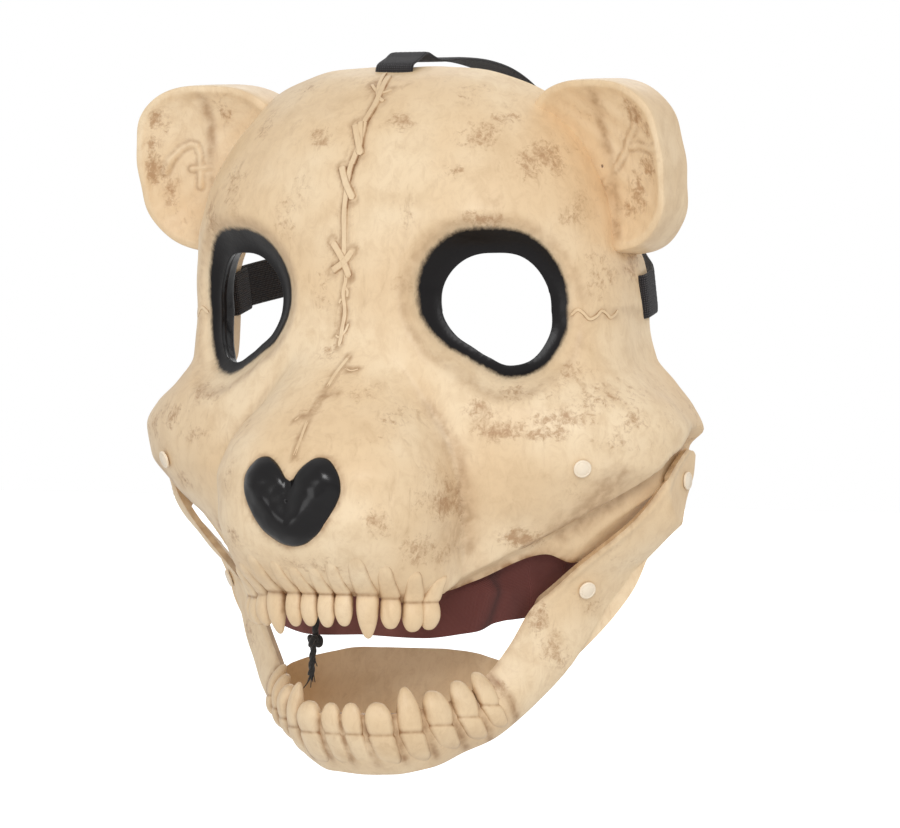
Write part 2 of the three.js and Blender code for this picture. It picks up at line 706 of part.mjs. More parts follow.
for (const [side, name] of [[1, 'left'], [-1, 'right']]) {
  const outward = V(side, 0, 0);
  const face = V(side * hinge.x, hinge.y, hinge.z);
  const middle = face.clone().addScaledVector(outward, -0.5 * BOSS_DEPTH);
  const hole = pin(face, outward, bore, 8 * BOSS_DEPTH);
  skull = skull.add(pin(middle, outward, BOSS_DIAMETER, BOSS_DEPTH, 16)).subtract(hole);
  jaw = jaw.subtract(hole);
  const outer = face.clone().addScaledVector(outward, JAW_GAP + JAW_WALL);
  rivets[`hinge_rivet_${name}`] = rivet(outer, outward, BOSS_DEPTH + JAW_GAP + JAW_WALL);
}

// Outer skin's depth below the eyes, where the plan sections lie level
function skinDepth(x, z) {
  const level = levelOf(z);
  const [middle, front] = [SKULL.widest(level) * SHELL_DEPTH, SKULL.front(level) * SHELL_DEPTH];
  const share = Math.min(1, Math.abs(x) / (CHEEK_HALF * SKULL.half(level)));
  return faceDepth(x, z, middle - (middle - front) * Math.sqrt(1 - share * share));
}

function skinNormal(x, z) {
  const slope = (dx, dz) => skinDepth(x + dx, z + dz) - skinDepth(x - dx, z - dz);
  return V(slope(0.5, 0), -1, slope(0, 0.5)).normalize();
}

// Cloth behind the upper teeth: upper and lower edge from the midline to the cheek rivet,
// as shares of the cheek half width, the shell depth and the lip drop
const LINING = columns(
  ['run', 'topSide', 'topDepth', 'topDrop', 'lowSide', 'lowDepth', 'lowDrop'],
  [
    [0, 0, 0.094, 0.758, 0, 0.153, 1.158],
    [1, 0.22, 0.106, 0.737, 0.21, 0.188, 1.168],
    [2, 0.40, 0.153, 0.674, 0.37, 0.27, 1.14],
    [3, 0.51, 0.188, 0.60, 0.45, 0.36, 1.08],
    [4, 0.62, 0.22, 0.53, 0.50, 0.46, 0.97],
    [5, 0.70, 0.20, 0.49, 0.60, 0.38, 0.80],
    [6, 0.82, 0.26, 0.49, 0.77, 0.33, 0.66],
  ],
);
const LINING_COLUMNS = 13;
const LINING_ROWS = 5;
const LINING_HOLD = 3.8;
const liningInset = WALL + 4 * CLEARANCE + LINING_THICKNESS;
const liningRows = [];
for (let j = 0; j < LINING_ROWS; j += 1) {
  const down = j / (LINING_ROWS - 1);
  const half = [];
  for (let i = 0; i < LINING_COLUMNS; i += 1) {
    const run = (6 * i) / (LINING_COLUMNS - 1);
    const x = CHEEK_HALF * mix(LINING.topSide(run), LINING.lowSide(run), down);
    const z = -LIP_DROP * mix(LINING.topDrop(run), LINING.lowDrop(run), down);
    const y = SHELL_DEPTH * mix(LINING.topDepth(run), LINING.lowDepth(run), down);
    const against = skinDepth(x, z) - liningInset / skinNormal(x, z).y;
    const behind = x > 0.6 * CHEEK_HALF ? Math.max(y, against) : y;
    const held = smooth(run - LINING_HOLD) * smooth(2 * (1 - down));
    half.push(V(x, mix(behind, against, held), z));
  }
  liningRows.push(mirrored(half));
}
let lining = sheet([...liningRows].reverse(), LINING_THICKNESS);

// Cheek rivets hold the cloth, jaw rivets close two holes low on the jaw's sides
const cheekRivet = V(0.78 * CHEEK_HALF, 0, -0.56 * LIP_DROP);
for (const [side, name] of [[1, 'left'], [-1, 'right']]) {
  const at = V(side * cheekRivet.x, skinDepth(cheekRivet.x, cheekRivet.z), cheekRivet.z);
  const outward = skinNormal(at.x, at.z);
  const hole = pin(at, outward, bore, 20);
  skull = skull.subtract(hole);
  lining = lining.subtract(hole);
  rivets[`cheek_rivet_${name}`] = rivet(at, outward, liningInset + 6 * CLEARANCE);
}

const JAW_RIVET_RUN = 8.3;
const JAW_RIVET_ROW = 0.42;
for (const [side, name] of [[1, 'left'], [-1, 'right']]) {
  const at = (run, row) => {
    const column = evenly(jawColumn(run), 41);
    const p = column[Math.round(row * 20)];
    return V(side * p.x, p.y, p.z);
  };
  const centre = at(JAW_RIVET_RUN, JAW_RIVET_ROW);
  const along = at(JAW_RIVET_RUN + 0.4, JAW_RIVET_ROW).sub(at(JAW_RIVET_RUN - 0.4, JAW_RIVET_ROW));
  const down = at(JAW_RIVET_RUN, JAW_RIVET_ROW + 0.1).sub(at(JAW_RIVET_RUN, JAW_RIVET_ROW - 0.1));
  const outward = along.cross(down).normalize();
  outward.multiplyScalar(Math.sign(outward.x) * side);
  jaw = jaw.subtract(pin(centre, outward, bore, 16));
  centre.addScaledVector(outward, CLEARANCE);
  rivets[`jaw_rivet_${name}`] = rivet(centre, outward, JAW_WALL + CLEARANCE);
}

// Elastic straps: an even band either side of a line of points
function band(line, thickness) {
  const [left, right] = [[], []];
  line.forEach((p, i) => {
    const ahead = line[Math.min(i + 1, line.length - 1)].clone();
    const along = ahead.sub(line[Math.max(i - 1, 0)]).normalize();
    const off = new THREE.Vector2(-along.y, along.x).multiplyScalar(0.5 * thickness);
    left.push(p.clone().add(off));
    right.push(p.clone().sub(off));
  });
  return [...left, ...right.reverse()];
}

const P = (x, y) => new THREE.Vector2(x, y);

function bend(middle, radius, from, to, steps) {
  return Array.from({ length: steps + 1 }, (_, i) => {
    const angle = mix(from, to, i / steps);
    return P(middle.x + radius * Math.cos(angle), middle.y + radius * Math.sin(angle));
  });
}

// Head strap: through a slot at each side, round the bar behind it and round the back
// of the head, where it sits higher
const EYE_LEVEL = 0.035;
const sideEdge = SKULL.rear(EYE_LEVEL) * SHELL_DEPTH;
const sideHalf = CHEEK_HALF * SKULL.rearHalf(EYE_LEVEL);
const strapOff = 2 * CLEARANCE + 0.5 * STRAP_THICKNESS;
const turnRadius = 0.5 * WALL + strapOff;
const strapLevel = EYE_LEVEL * CROWN_HEIGHT;
const barMiddle = P(sideHalf - 0.5 * WALL, sideEdge - SLOT_INSET + turnRadius);
const endGap = STRAP_THICKNESS + CLEARANCE;
const outerLine = sideHalf + strapOff;
const HEAD_LINE = [
  [1.0, 0.02], [0.95, 0.10], [0.86, 0.21], [0.76, 0.34], [0.65, 0.49], [0.52, 0.67],
  [0.37, 0.85], [0.22, 0.96], [0.1, 1.0], [0, 1.0],
].map(([half, back]) => P(half * outerLine, mix(sideEdge, STRAP_REACH, back)));
const headCurve = new THREE.SplineCurve([...HEAD_LINE, P(-HEAD_LINE[8].x, HEAD_LINE[8].y)]);
const headPoints = headCurve.getPoints(30).slice(0, 28);
const halfStrap = [
  P(barMiddle.x - turnRadius, sideEdge + 0.27 * STRAP_WIDTH),
  ...bend(barMiddle, turnRadius, -Math.PI, 0, 6),
  ...headPoints,
];
const otherHalf = halfStrap.slice(0, -1).map((p) => P(-p.x, p.y)).reverse();
const strapTilt = Math.atan2(STRAP_RISE, STRAP_REACH - sideEdge);
const strapPlace = new THREE.Matrix4()
  .makeTranslation(0, barMiddle.y, strapLevel)
  .multiply(new THREE.Matrix4().makeRotationX(strapTilt))
  .multiply(new THREE.Matrix4().makeTranslation(0, -barMiddle.y, 0));
const headStrap = extruded(band([...halfStrap, ...otherHalf], STRAP_THICKNESS), STRAP_WIDTH, strapPlace);
for (const side of [-1, 1]) {
  const slot = new THREE.BoxGeometry(
    6 * WALL, STRAP_THICKNESS + 4 * CLEARANCE, STRAP_WIDTH + 4 * CLEARANCE,
  );
  slot.translate(side * barMiddle.x, barMiddle.y - turnRadius, 0);
  slot.applyMatrix4(strapPlace);
  skull = skull.subtract(solidFrom(slot));
}

// Crown strap: round the bar at the crown, over the head and down inside the head strap
const crownEdge = P(SKULL.front(1) * SHELL_DEPTH, CROWN_HEIGHT);
const crownBack = P(0.944, 0.33);
const crownUp = P(-0.33, 0.944);
const crownPoint = (back, up) => crownEdge.clone()
  .addScaledVector(crownBack, back).addScaledVector(crownUp, up);
const crownRadius = turnRadius + 3 * CLEARANCE;
const crownBar = crownPoint(crownRadius - SLOT_INSET, -0.5 * WALL);
const lean = Math.atan2(crownBack.y, crownBack.x);
const overHead = [
  [0.33, 1.035], [0.43, 1.047], [0.54, 1.045], [0.65, 1.015], [0.75, 0.95], [0.84, 0.85],
  [0.91, 0.71],
].map(([reach, up]) => P(reach * STRAP_REACH, up * CROWN_HEIGHT));
const join = V(0, STRAP_REACH - endGap - CLEARANCE, 0).applyMatrix4(strapPlace);
const joinPoint = (up) => P(
  join.y - up * Math.sin(strapTilt), join.z + up * Math.cos(strapTilt),
);
const alongCrown = (share) => crownPoint(share * CROWN_STRAP_WIDTH, crownRadius - 0.5 * WALL);
const crownGuide = [
  alongCrown(0.14), alongCrown(0.57), ...overHead,
  joinPoint(0.7 * STRAP_WIDTH), joinPoint(-0.45 * STRAP_WIDTH),
];
const crownLine = [
  crownPoint(0.29 * CROWN_STRAP_WIDTH, -0.5 * WALL - crownRadius),
  ...bend(crownBar, crownRadius, lean - Math.PI / 2, lean - 1.5 * Math.PI, 6),
  ...new THREE.SplineCurve(crownGuide).getPoints(28),
];
const acrossPlace = new THREE.Matrix4().makeBasis(V(0, 1, 0), V(0, 0, 1), V(1, 0, 0));
const crownStrap = extruded(band(crownLine, STRAP_THICKNESS), CROWN_STRAP_WIDTH, acrossPlace);
const crownSlot = crownPoint(-SLOT_INSET, -0.5 * WALL);
const slotSize = V(CROWN_STRAP_WIDTH + 4 * CLEARANCE, STRAP_THICKNESS + 4 * CLEARANCE, 6 * WALL);
const slotBox = new THREE.BoxGeometry(slotSize.x, slotSize.y, slotSize.z);
slotBox.rotateX(lean);
slotBox.translate(0, crownSlot.x, crownSlot.y);
skull = skull.subtract(solidFrom(slotBox));

// Knotted cord that hangs behind the upper incisors, from the cloth
const CORD_ROUTE = [
  [-15, 8.8, -82],
  [-15, 9.2, -95],
  [-15.3, 8.9, -108],
  [-16, 8.3, -116],
  [-16.6, 8.0, -124],
];
const cordCurve = new THREE.CatmullRomCurve3(CORD_ROUTE.map(([x, y, z]) => V(x, y, z)));
const cordSection = new THREE.Shape(Array.from({ length: 8 }, (_, i) => {
  const angle = (i / 8) * 2 * Math.PI;
  return P(0.5 * CORD_DIAMETER * Math.cos(angle), 0.5 * CORD_DIAMETER * Math.sin(angle));
}));
const cordGeometry = new THREE.ExtrudeGeometry(cordSection, {
  steps: 8, bevelEnabled: false, extrudePath: cordCurve,
});

const CREAM = 0xe7caa7;
const WHITE = 0xf8e6ce;
const ELASTIC = 0x352f32;
const DARK_RED = 0x6e3e3a;
const BLACK = 0x22201f;
const group = new THREE.Group();
group.add(meshOf('skull_shell', skull, CREAM, 0.5));
group.add(meshOf('jaw_shell', jaw, CREAM, 0.5));
for (const [name, solid] of Object.entries(rivets)) group.add(meshOf(name, solid, WHITE, 0.35));
group.add(meshOf('head_strap', headStrap, ELASTIC, 0.9));
group.add(meshOf('crown_strap', crownStrap, ELASTIC, 0.9));
group.add(meshOf('mouth_lining', lining, DARK_RED, 0.95));
group.add(meshOf('knotted_cord', solidFrom(cordGeometry), BLACK, 0.95));

export default group;
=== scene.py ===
import math

import bpy
import numpy as np
from mathutils import Matrix


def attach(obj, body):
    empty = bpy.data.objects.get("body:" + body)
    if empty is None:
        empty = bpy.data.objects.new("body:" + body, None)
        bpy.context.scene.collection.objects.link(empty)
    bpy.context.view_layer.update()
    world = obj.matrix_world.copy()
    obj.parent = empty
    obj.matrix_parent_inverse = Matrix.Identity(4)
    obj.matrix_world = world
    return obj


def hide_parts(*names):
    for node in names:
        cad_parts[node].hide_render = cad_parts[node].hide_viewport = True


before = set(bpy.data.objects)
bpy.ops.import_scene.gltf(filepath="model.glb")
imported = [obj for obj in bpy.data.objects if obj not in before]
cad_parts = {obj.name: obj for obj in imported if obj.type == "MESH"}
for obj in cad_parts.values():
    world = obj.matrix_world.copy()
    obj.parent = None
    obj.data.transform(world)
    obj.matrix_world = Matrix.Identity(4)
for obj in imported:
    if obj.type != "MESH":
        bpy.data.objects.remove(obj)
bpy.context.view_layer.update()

# Studio: the camera stands a little above the eyes, 26 degrees to the wearer's left.
# Large soft lamps and a pale room light the mask, and a pale floor lies well below it.


def add_camera(place, right, up, back, lens):
    """Camera at a place in metres whose own axes are the three given directions."""
    camera = bpy.data.objects.new("camera", bpy.data.cameras.new("camera"))
    bpy.context.scene.collection.objects.link(camera)
    turn = Matrix((right, up, back)).transposed().to_4x4()
    camera.matrix_world = Matrix.Translation(place) @ turn
    camera.data.sensor_width = 36
    camera.data.sensor_fit = "HORIZONTAL"
    camera.data.lens = lens
    camera.data.clip_end = 20
    bpy.context.scene.camera = camera


add_camera((0.7338, -1.4246, 0.0199), (0.8988, 0.4384, 0.0), (-0.0153, 0.0314, 0.9994),
           (0.4381, -0.8983, 0.0349), 193.9)


def add_lamp(name, place, size, power):
    """Square soft lamp at a place in metres that looks at the middle of the mask."""
    lamp = bpy.data.objects.new(name, bpy.data.lights.new(name, "AREA"))
    bpy.context.scene.collection.objects.link(lamp)
    lamp.data.size = size
    lamp.data.energy = power
    back = np.array(place, float) - (0, 0.02, -0.03)
    back /= np.linalg.norm(back)
    right = np.cross((0, 0, 1), back)
    right /= np.linalg.norm(right)
    turn = Matrix((right, np.cross(back, right), back)).transposed().to_4x4()
    lamp.matrix_world = Matrix.Translation(place) @ turn


add_lamp("key_lamp", (1.0, -1.4, 0.8), 0.6, 10.5)
add_lamp("side_lamp", (-0.2, -1.6, -0.2), 0.8, 3.5)
add_lamp("back_lamp", (-0.4, 1.3, 0.9), 0.9, 3)

world = bpy.data.worlds.new("room")
world.use_nodes = True
world.node_tree.nodes["Background"].inputs["Color"].default_value = (1.0, 1.0, 1.0, 1)
ROOM_LIGHT = 0.72
bpy.context.scene.world = world
bpy.context.scene.view_settings.view_transform = "Standard"


def paint(red, green, blue):
    """Linear colour from the three shares of 255 that a paint chart gives."""
    share = np.array([red, green, blue], float) / 255
    linear = np.where(share > 0.04045, ((share + 0.055) / 1.055) ** 2.4, share / 12.92)
    return (*linear, 1.0)


def new_finish(name, roughness, colour=(0.8, 0.8, 0.8, 1.0)):
    """A material with one Principled shader, returned with its node tree and shader."""
    material = bpy.data.materials.new(name)
    material.use_nodes = True
    shader = material.node_tree.nodes["Principled BSDF"]
    shader.inputs["Roughness"].default_value = roughness
    shader.inputs["Base Color"].default_value = colour
    return material, material.node_tree, shader


def node(tree, kind, inputs=None, **settings):
    """A shader node; an input is given a value or is linked to another node's output."""
    made = tree.nodes.new(kind)
    for key, value in settings.items():
        setattr(made, key, value)
    for key, value in (inputs or {}).items():
        if isinstance(value, bpy.types.NodeSocket):
            tree.links.new(value, made.inputs[key])
        else:
            made.inputs[key].default_value = value
    return made


def put_mesh(name, points, faces, finish, **fields):
    """A smooth mesh object at the origin; points are in millimetres, and each field is a
    number per point that the finish reads by its name."""
    mesh = bpy.data.meshes.new(name)
    faces = faces if isinstance(faces, list) else faces.tolist()
    mesh.from_pydata((np.asarray(points).reshape(-1, 3) * 0.001).tolist(), [], faces)
    for field, values in fields.items():
        attribute = mesh.attributes.new(field, "FLOAT", "POINT")
        attribute.data.foreach_set("value", np.asarray(values, np.float32).ravel())
    mesh.shade_smooth()
    mesh.materials.append(finish)
    piece = bpy.data.objects.new(name, mesh)
    bpy.context.scene.collection.objects.link(piece)
    return piece


# The camera sees the far room a little brighter than it lights the mask, so it looks white
world_tree = world.node_tree
seen = node(world_tree, "ShaderNodeLightPath").outputs["Is Camera Ray"]
level = node(world_tree, "ShaderNodeMapRange", {"Value": seen, "To Min": ROOM_LIGHT, "To Max": 1.0})
world_tree.links.new(level.outputs["Result"], world_tree.nodes["Background"].inputs["Strength"])
floor_finish, floor_tree, floor_shader = new_finish("pale_floor", 0.9, (0.8, 0.8, 0.8, 1.0))
seen = node(floor_tree, "ShaderNodeLightPath").outputs["Is Camera Ray"]
floor_tree.links.new(seen, floor_shader.inputs["Emission Strength"])
floor_shader.inputs["Emission Color"].default_value = (0.85, 0.85, 0.85, 1.0)
floor = put_mesh("floor", [(-6e3, -6e3, -420), (6e3, -6e3, -420), (6e3, 6e3, -420), (-6e3, 6e3, -420)],
                 [(0, 1, 2, 3)], floor_finish)

# Knotted cord: a short end of thin black twine, about 42 mm long, sewn to the cloth
# behind the upper incisors. It hangs free, with one knot and a frayed end.


def smooth(share):
    """0 below 0, 1 above 1, and an even rise between."""
    share = np.clip(share, 0, 1)
    return share * share * (3 - 2 * share)


def curve_through(points, count):
    """Points spread along the uniform Catmull-Rom curve through the given points."""
    points = np.asarray(points, float)
    ends = np.concatenate([2 * points[:1] - points[1:2], points, 2 * points[-1:] - points[-2:-1]])
    at = np.linspace(0, len(points) - 1, count)
    i = np.minimum(at.astype(int), len(points) - 2)
    t = (at - i)[:, None]
    a, b, c, d = ends[i], ends[i + 1], ends[i + 2], ends[i + 3]
    return 0.5 * (2 * b + (c - a) * t + (2 * a - 5 * b + 4 * c - d) * t**2 + (3 * b - a - 3 * c + d) * t**3)


def grid_faces(rows, columns, round_way=False):
    """Quads of a grid of rows by columns; round_way joins the last column to the first."""
    j, i = np.meshgrid(np.arange(rows - 1), np.arange(columns if round_way else columns - 1), indexing="ij")
    k = (i + 1) % columns
    quads = np.stack([j * columns + i, j * columns + k, (j + 1) * columns + k, (j + 1) * columns + i], -1)
    return quads.reshape(-1, 4)


def tube(path, radius, sides, swell=None):
    """Closed round tube: a ring of the given radius across the path at each of its points,
    with swell as a factor per point and side. The ends close on the path's own ends."""
    path = np.asarray(path, float)
    along = np.gradient(path, axis=0)
    along /= np.linalg.norm(along, axis=1, keepdims=True)
    away = np.where(np.abs(along[:, 1:2]) > 0.9, (1.0, 0, 0), (0, 1.0, 0))
    first = np.cross(along, away)
    first /= np.linalg.norm(first, axis=1, keepdims=True)
    second = np.cross(along, first)
    turn = np.linspace(0, 2 * np.pi, sides, endpoint=False)
    reach = np.broadcast_to(np.asarray(radius, float).reshape(-1, 1), (len(path), sides))
    reach = reach * (1 if swell is None else swell)
    rings = path[:, None] + reach[..., None] * (
        np.cos(turn)[None, :, None] * first[:, None] + np.sin(turn)[None, :, None] * second[:, None])
    n = len(path)
    points = np.concatenate([rings.reshape(-1, 3), path[:1], path[-1:]])
    sideways = grid_faces(n, sides, round_way=True)
    k = np.arange(sides)
    after = (k + 1) % sides
    start = np.stack([np.full(sides, n * sides), after, k], -1)
    end = np.stack([np.full(sides, n * sides + 1), (n - 1) * sides + k, (n - 1) * sides + after], -1)
    return points, [*sideways.tolist(), *start.tolist(), *end.tolist()]


def joined(parts):
    """Several point and face lists as one."""
    points, faces, first = [], [], 0
    for some_points, some_faces in parts:
        points.append(np.asarray(some_points))
        faces.extend([[first + k for k in face] for face in some_faces])
        first += len(some_points)
    return np.concatenate(points), faces


twine, tree, shader = new_finish("black_twine", 0.95)
grain = node(tree, "ShaderNodeTexNoise", {"Vector": node(tree, "ShaderNodeTexCoord").outputs["Object"],
                                          "Scale": 1600.0, "Detail": 3.0})
shades = node(tree, "ShaderNodeMix", {0: grain.outputs["Fac"], 6: paint(14, 13, 13), 7: paint(62, 60, 58)},
              data_type="RGBA")
tree.links.new(shades.outputs[2], shader.inputs["Base Color"])
shader.inputs["Sheen Weight"].default_value = 0.3

CORD_ROUTE = [(-15, 8.8, -82), (-15, 9.2, -95), (-15.3, 8.9, -108), (-16, 8.3, -116), (-16.6, 8.0, -124)]
cord_line = curve_through(CORD_ROUTE, 120)
ply = np.linspace(0, 2 * np.pi, 24, endpoint=False)[None] * 3 - np.arange(120)[:, None] * 0.55
cord_points, cord_faces = tube(cord_line, 1.0, 24, 1 + 0.2 * np.cos(ply))
cord = put_mesh("twine_cord", cord_points, cord_faces, twine)
knot_turn = np.linspace(0, 2 * np.pi, 90)
knot_line = np.stack([-15.6 + 0.85 * (np.sin(knot_turn) + 1.6 * np.sin(2 * knot_turn)),
                      8.5 + 0.7 * (np.cos(knot_turn) - 1.6 * np.cos(2 * knot_turn)),
                      -112.5 - 1.3 * np.sin(3 * knot_turn)], -1)
fray_seed = np.random.default_rng(7)
strands = [tube(knot_line, 0.9, 12)]
for _ in range(16):
    lean = fray_seed.normal(0, 1, 2)
    start = cord_line[int(fray_seed.integers(84, 118))]
    fall = fray_seed.uniform(4, 8)
    down = np.linspace(0, 1, 12)[:, None]
    line = start + down * (0, 0, -1) * fall + down**1.6 * (1.3 * lean[0], 0.8 * lean[1], 0)
    line[:, 2] = np.maximum(line[:, 2], -129)
    strands.append(tube(line, np.linspace(0.34, 0.16, 12), 6))
knot = put_mesh("twine_knot", *joined(strands), twine)
for piece in (cord, knot):
    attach(piece, "skull")
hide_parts("knotted_cord")

# Skull shell: one thin moulding of cream plastic, about 2 mm thick, with a brown wash
# wiped over it. It carries everything else, and its eye sockets are sprayed black.
# Sizes are millimetres, and the tables hold shares of them.

CROWN_HEIGHT, LIP_DROP, CHEEK_HALF, SHELL_DEPTH, WALL = 80, 95, 100, 85, 2
SNOUT_REACH, SNOUT_HALF, SNOUT_FILLET, BROW_RISE = 38.5, 41.5, 7, 3
EYE_SPACING, EYE_HALF_WIDTH, EYE_HALF_HEIGHT, SOCKET_DEPTH = 91, 16.7, 18.7, 9
HINGE_HALF, HINGE_DEPTH, HINGE_DROP = 91.5, 66, 59
JAW_REACH, JAW_DROP = 70, 96
CONE_TOP, CONE_FALL, CONE_ROUND, RECESS_EDGE, RECESS_DISC = 0.99, 0.0126, 0.17, 7, 0.19
SNOUT_BACK = 0.14 * SHELL_DEPTH


def line_through(xs, ys, at):
    """Smooth line through given points that never overshoots them: cubic pieces whose
    slope at a point is the harmonic mean of the slopes on both sides."""
    steps = np.diff(ys) / np.diff(xs)
    before, after = steps[:-1], steps[1:]
    rising = before * after > 0
    inner = np.where(rising, 2 * before * after / np.where(rising, before + after, 1), 0)
    slopes = np.concatenate([steps[:1], inner, steps[-1:]])
    at = np.clip(at, xs[0], xs[-1])
    i = np.clip(np.searchsorted(xs, at, side="right") - 1, 0, len(xs) - 2)
    span = xs[i + 1] - xs[i]
    t = (at - xs[i]) / span
    low = (2 * t**3 - 3 * t**2 + 1) * ys[i] + (t**3 - 2 * t**2 + t) * span * slopes[i]
    return low + (3 * t**2 - 2 * t**3) * ys[i + 1] + (t**3 - t**2) * span * slopes[i + 1]


def table(names, rows):
    """Named columns of listed shares, each a smooth line over the first column."""
    values = np.array(rows, float)
    return {name: (lambda at, k=k: line_through(values[:, 0], values[:, k], at))
            for k, name in enumerate(names.split()) if k}


SKULL = table("level front half widest rearHalf rear sag", [
    (-1.10, -0.035, 0.63, 0.99, 0.63, 1.035, 0),
    (-1.00, -0.035, 0.68, 0.99, 0.68, 1.0, 0),
    (-0.90, -0.05, 0.74, 0.95, 0.75, 0.96, 0),
    (-0.76, -0.06, 0.83, 0.82, 0.84, 0.89, 0),
    (-0.64, -0.07, 0.93, 0.72, 0.94, 0.89, 0),
    (-0.55, -0.07, 0.99, 0.67, 0.96, 0.895, 0),
    (-0.45, -0.065, 1.0, 0.645, 0.97, 0.885, 0),
    (-0.36, -0.05, 0.955, 0.63, 0.935, 0.88, 0),
    (-0.28, -0.03, 0.87, 0.62, 0.88, 0.86, 0),
    (-0.19, -0.01, 0.805, 0.62, 0.81, 0.85, 0),
    (-0.05, 0, 0.79, 0.62, 0.79, 0.835, 0),
    (0.15, 0, 0.79, 0.61, 0.79, 0.825, 0.05),
    (0.35, 0, 0.78, 0.61, 0.78, 0.825, 0.175),
    (0.55, 0.035, 0.765, 0.635, 0.765, 0.825, 0.325),
    (0.73, 0.12, 0.755, 0.68, 0.755, 0.825, 0.46),
    (0.86, 0.24, 0.745, 0.73, 0.745, 0.825, 0.575),
    (0.95, 0.365, 0.735, 0.765, 0.735, 0.825, 0.64),
    (1.00, 0.50, 0.735, 0.775, 0.735, 0.825, 0.65),
])
SNOUT = table("level front half square", [
    (-1.10, 0.31, 0.84, 2.0), (-1.01, 0.44, 0.915, 2.1), (-0.93, 0.70, 0.95, 2.3),
    (-0.82, 0.92, 0.97, 2.6), (-0.72, 1.0, 1.0, 2.7), (-0.60, 1.0, 1.0, 2.7),
    (-0.49, 0.91, 0.94, 2.6), (-0.40, 0.70, 0.83, 2.5), (-0.295, 0.42, 0.66, 2.3),
    (-0.19, 0.13, 0.50, 2.2), (-0.084, -0.16, 0.36, 2.1), (0.4, -0.16, 0.48, 2.1),
    (1.0, -0.16, 0.66, 2.1),
])
LIP = table("turn level", [
    (0, -1.0), (0.12, -1.0), (0.24, -1.03), (0.365, -0.96), (0.49, -0.87), (0.545, -0.903),
    (0.65, -0.88), (0.70, -0.82), (0.75, -0.775), (0.80, -0.755), (1.0, -0.74),
])
RECESS = table("radius angle", [
    (0.2, -40), (0.285, -15), (0.37, 12), (0.47, 21), (0.57, 26), (0.72, 30), (0.90, 33),
])
EYE = table("turn radius", [
    (0, 1.0), (30, 1.05), (60, 1.10), (90, 1.03), (120, 1.04), (150, 1.03), (180, 0.95),
    (210, 0.82), (240, 0.74), (265, 0.82), (290, 1.04), (310, 1.12), (330, 1.08), (360, 1.0),
])


NOSE_LEVEL, NOSE_RISE = -63, 4.0
NOSE = table("turn reach", [
    (0, 6.4), (12, 7.6), (23, 12.6), (33, 16.8), (46, 18.7), (62, 18.9), (78, 18.0), (92, 16.4), (106, 15.0),
    (124, 14.2), (145, 14.2), (165, 14.7), (180, 14.9),
])


def height_of(level):
    """Levels are shares of the crown height above the eyes and of the lip drop below."""
    return level * np.where(level > 0, CROWN_HEIGHT, LIP_DROP)


def level_of(height):
    return height / np.where(height > 0, CROWN_HEIGHT, LIP_DROP)


def rounded_min(a, b, fillet):
    """Smaller of two depths, rounded over a fillet where they meet."""
    h = np.clip(0.5 + 0.5 * (b - a) / fillet, 0, 1)
    return b + (a - b) * h - fillet * h * (1 - h)


def eye_polar(x, z):
    """Turn about the middle of an eye hole in degrees, outward 0 and up 90, and the
    distance from it as a share of the hole's own size that way."""
    across = (np.abs(x) - EYE_SPACING / 2) / EYE_HALF_WIDTH
    up = z / EYE_HALF_HEIGHT + 0.1
    turn = np.degrees(np.arctan2(up, across)) % 360
    return turn, np.hypot(across, up) / EYE["radius"](turn)


def jaw_limit(y, z, off=0.0):
    """Half width that clears the turning jaw: a rounded cone about the hinge line, flat in
    the middle, or a surface that stands off it by an even distance."""
    radius = np.hypot(y - HINGE_DEPTH, z + HINGE_DROP)
    soft = np.hypot(radius, CONE_ROUND * JAW_REACH)
    steep = CONE_FALL * CHEEK_HALF
    cone = CONE_TOP * CHEEK_HALF - steep * (soft - CONE_ROUND * JAW_REACH)
    return np.minimum(HINGE_HALF + off, cone + off * np.hypot(1, steep * radius / soft))


def recess_weight(y, z):
    """1 in the sunk sector in which the jaw turns, 0 outside it, soft over its edge."""
    radius = np.hypot(y - HINGE_DEPTH, z + HINGE_DROP)
    angle = np.degrees(np.arctan2(-HINGE_DROP - z, HINGE_DEPTH - y))
    below = np.where(angle < -150, angle + 360, angle)
    sector = np.radians(below - RECESS["angle"](radius / JAW_REACH)) * radius
    inside = np.maximum(sector, RECESS_DISC * JAW_REACH - radius)
    return smooth((inside + RECESS_EDGE - 1) / RECESS_EDGE)


def face_depth(x, z, depth):
    """Depth of the face with snout and brow: the plan section, the snout's rounded outline
    in front of it, and a low swelling over each eye."""
    level = level_of(z)
    front = -SNOUT_REACH * SNOUT["front"](level)
    half = SNOUT_HALF * SNOUT["half"](level)
    power = SNOUT["square"](level)
    q = np.abs(x) / half
    inner = SNOUT_BACK - (SNOUT_BACK - front) * (1 - np.minimum(q, 1) ** power) ** (1 / power)
    snout = inner + 3 * half * np.maximum(0, q - 1) + 2 * np.maximum(0, level + 0.084) * LIP_DROP
    across = (np.abs(x) - EYE_SPACING / 2) / 24
    up = (z - 1.6 * EYE_HALF_HEIGHT) / 13
    return rounded_min(depth, snout, SNOUT_FILLET) - BROW_RISE * np.exp(-across**2 - up**2)


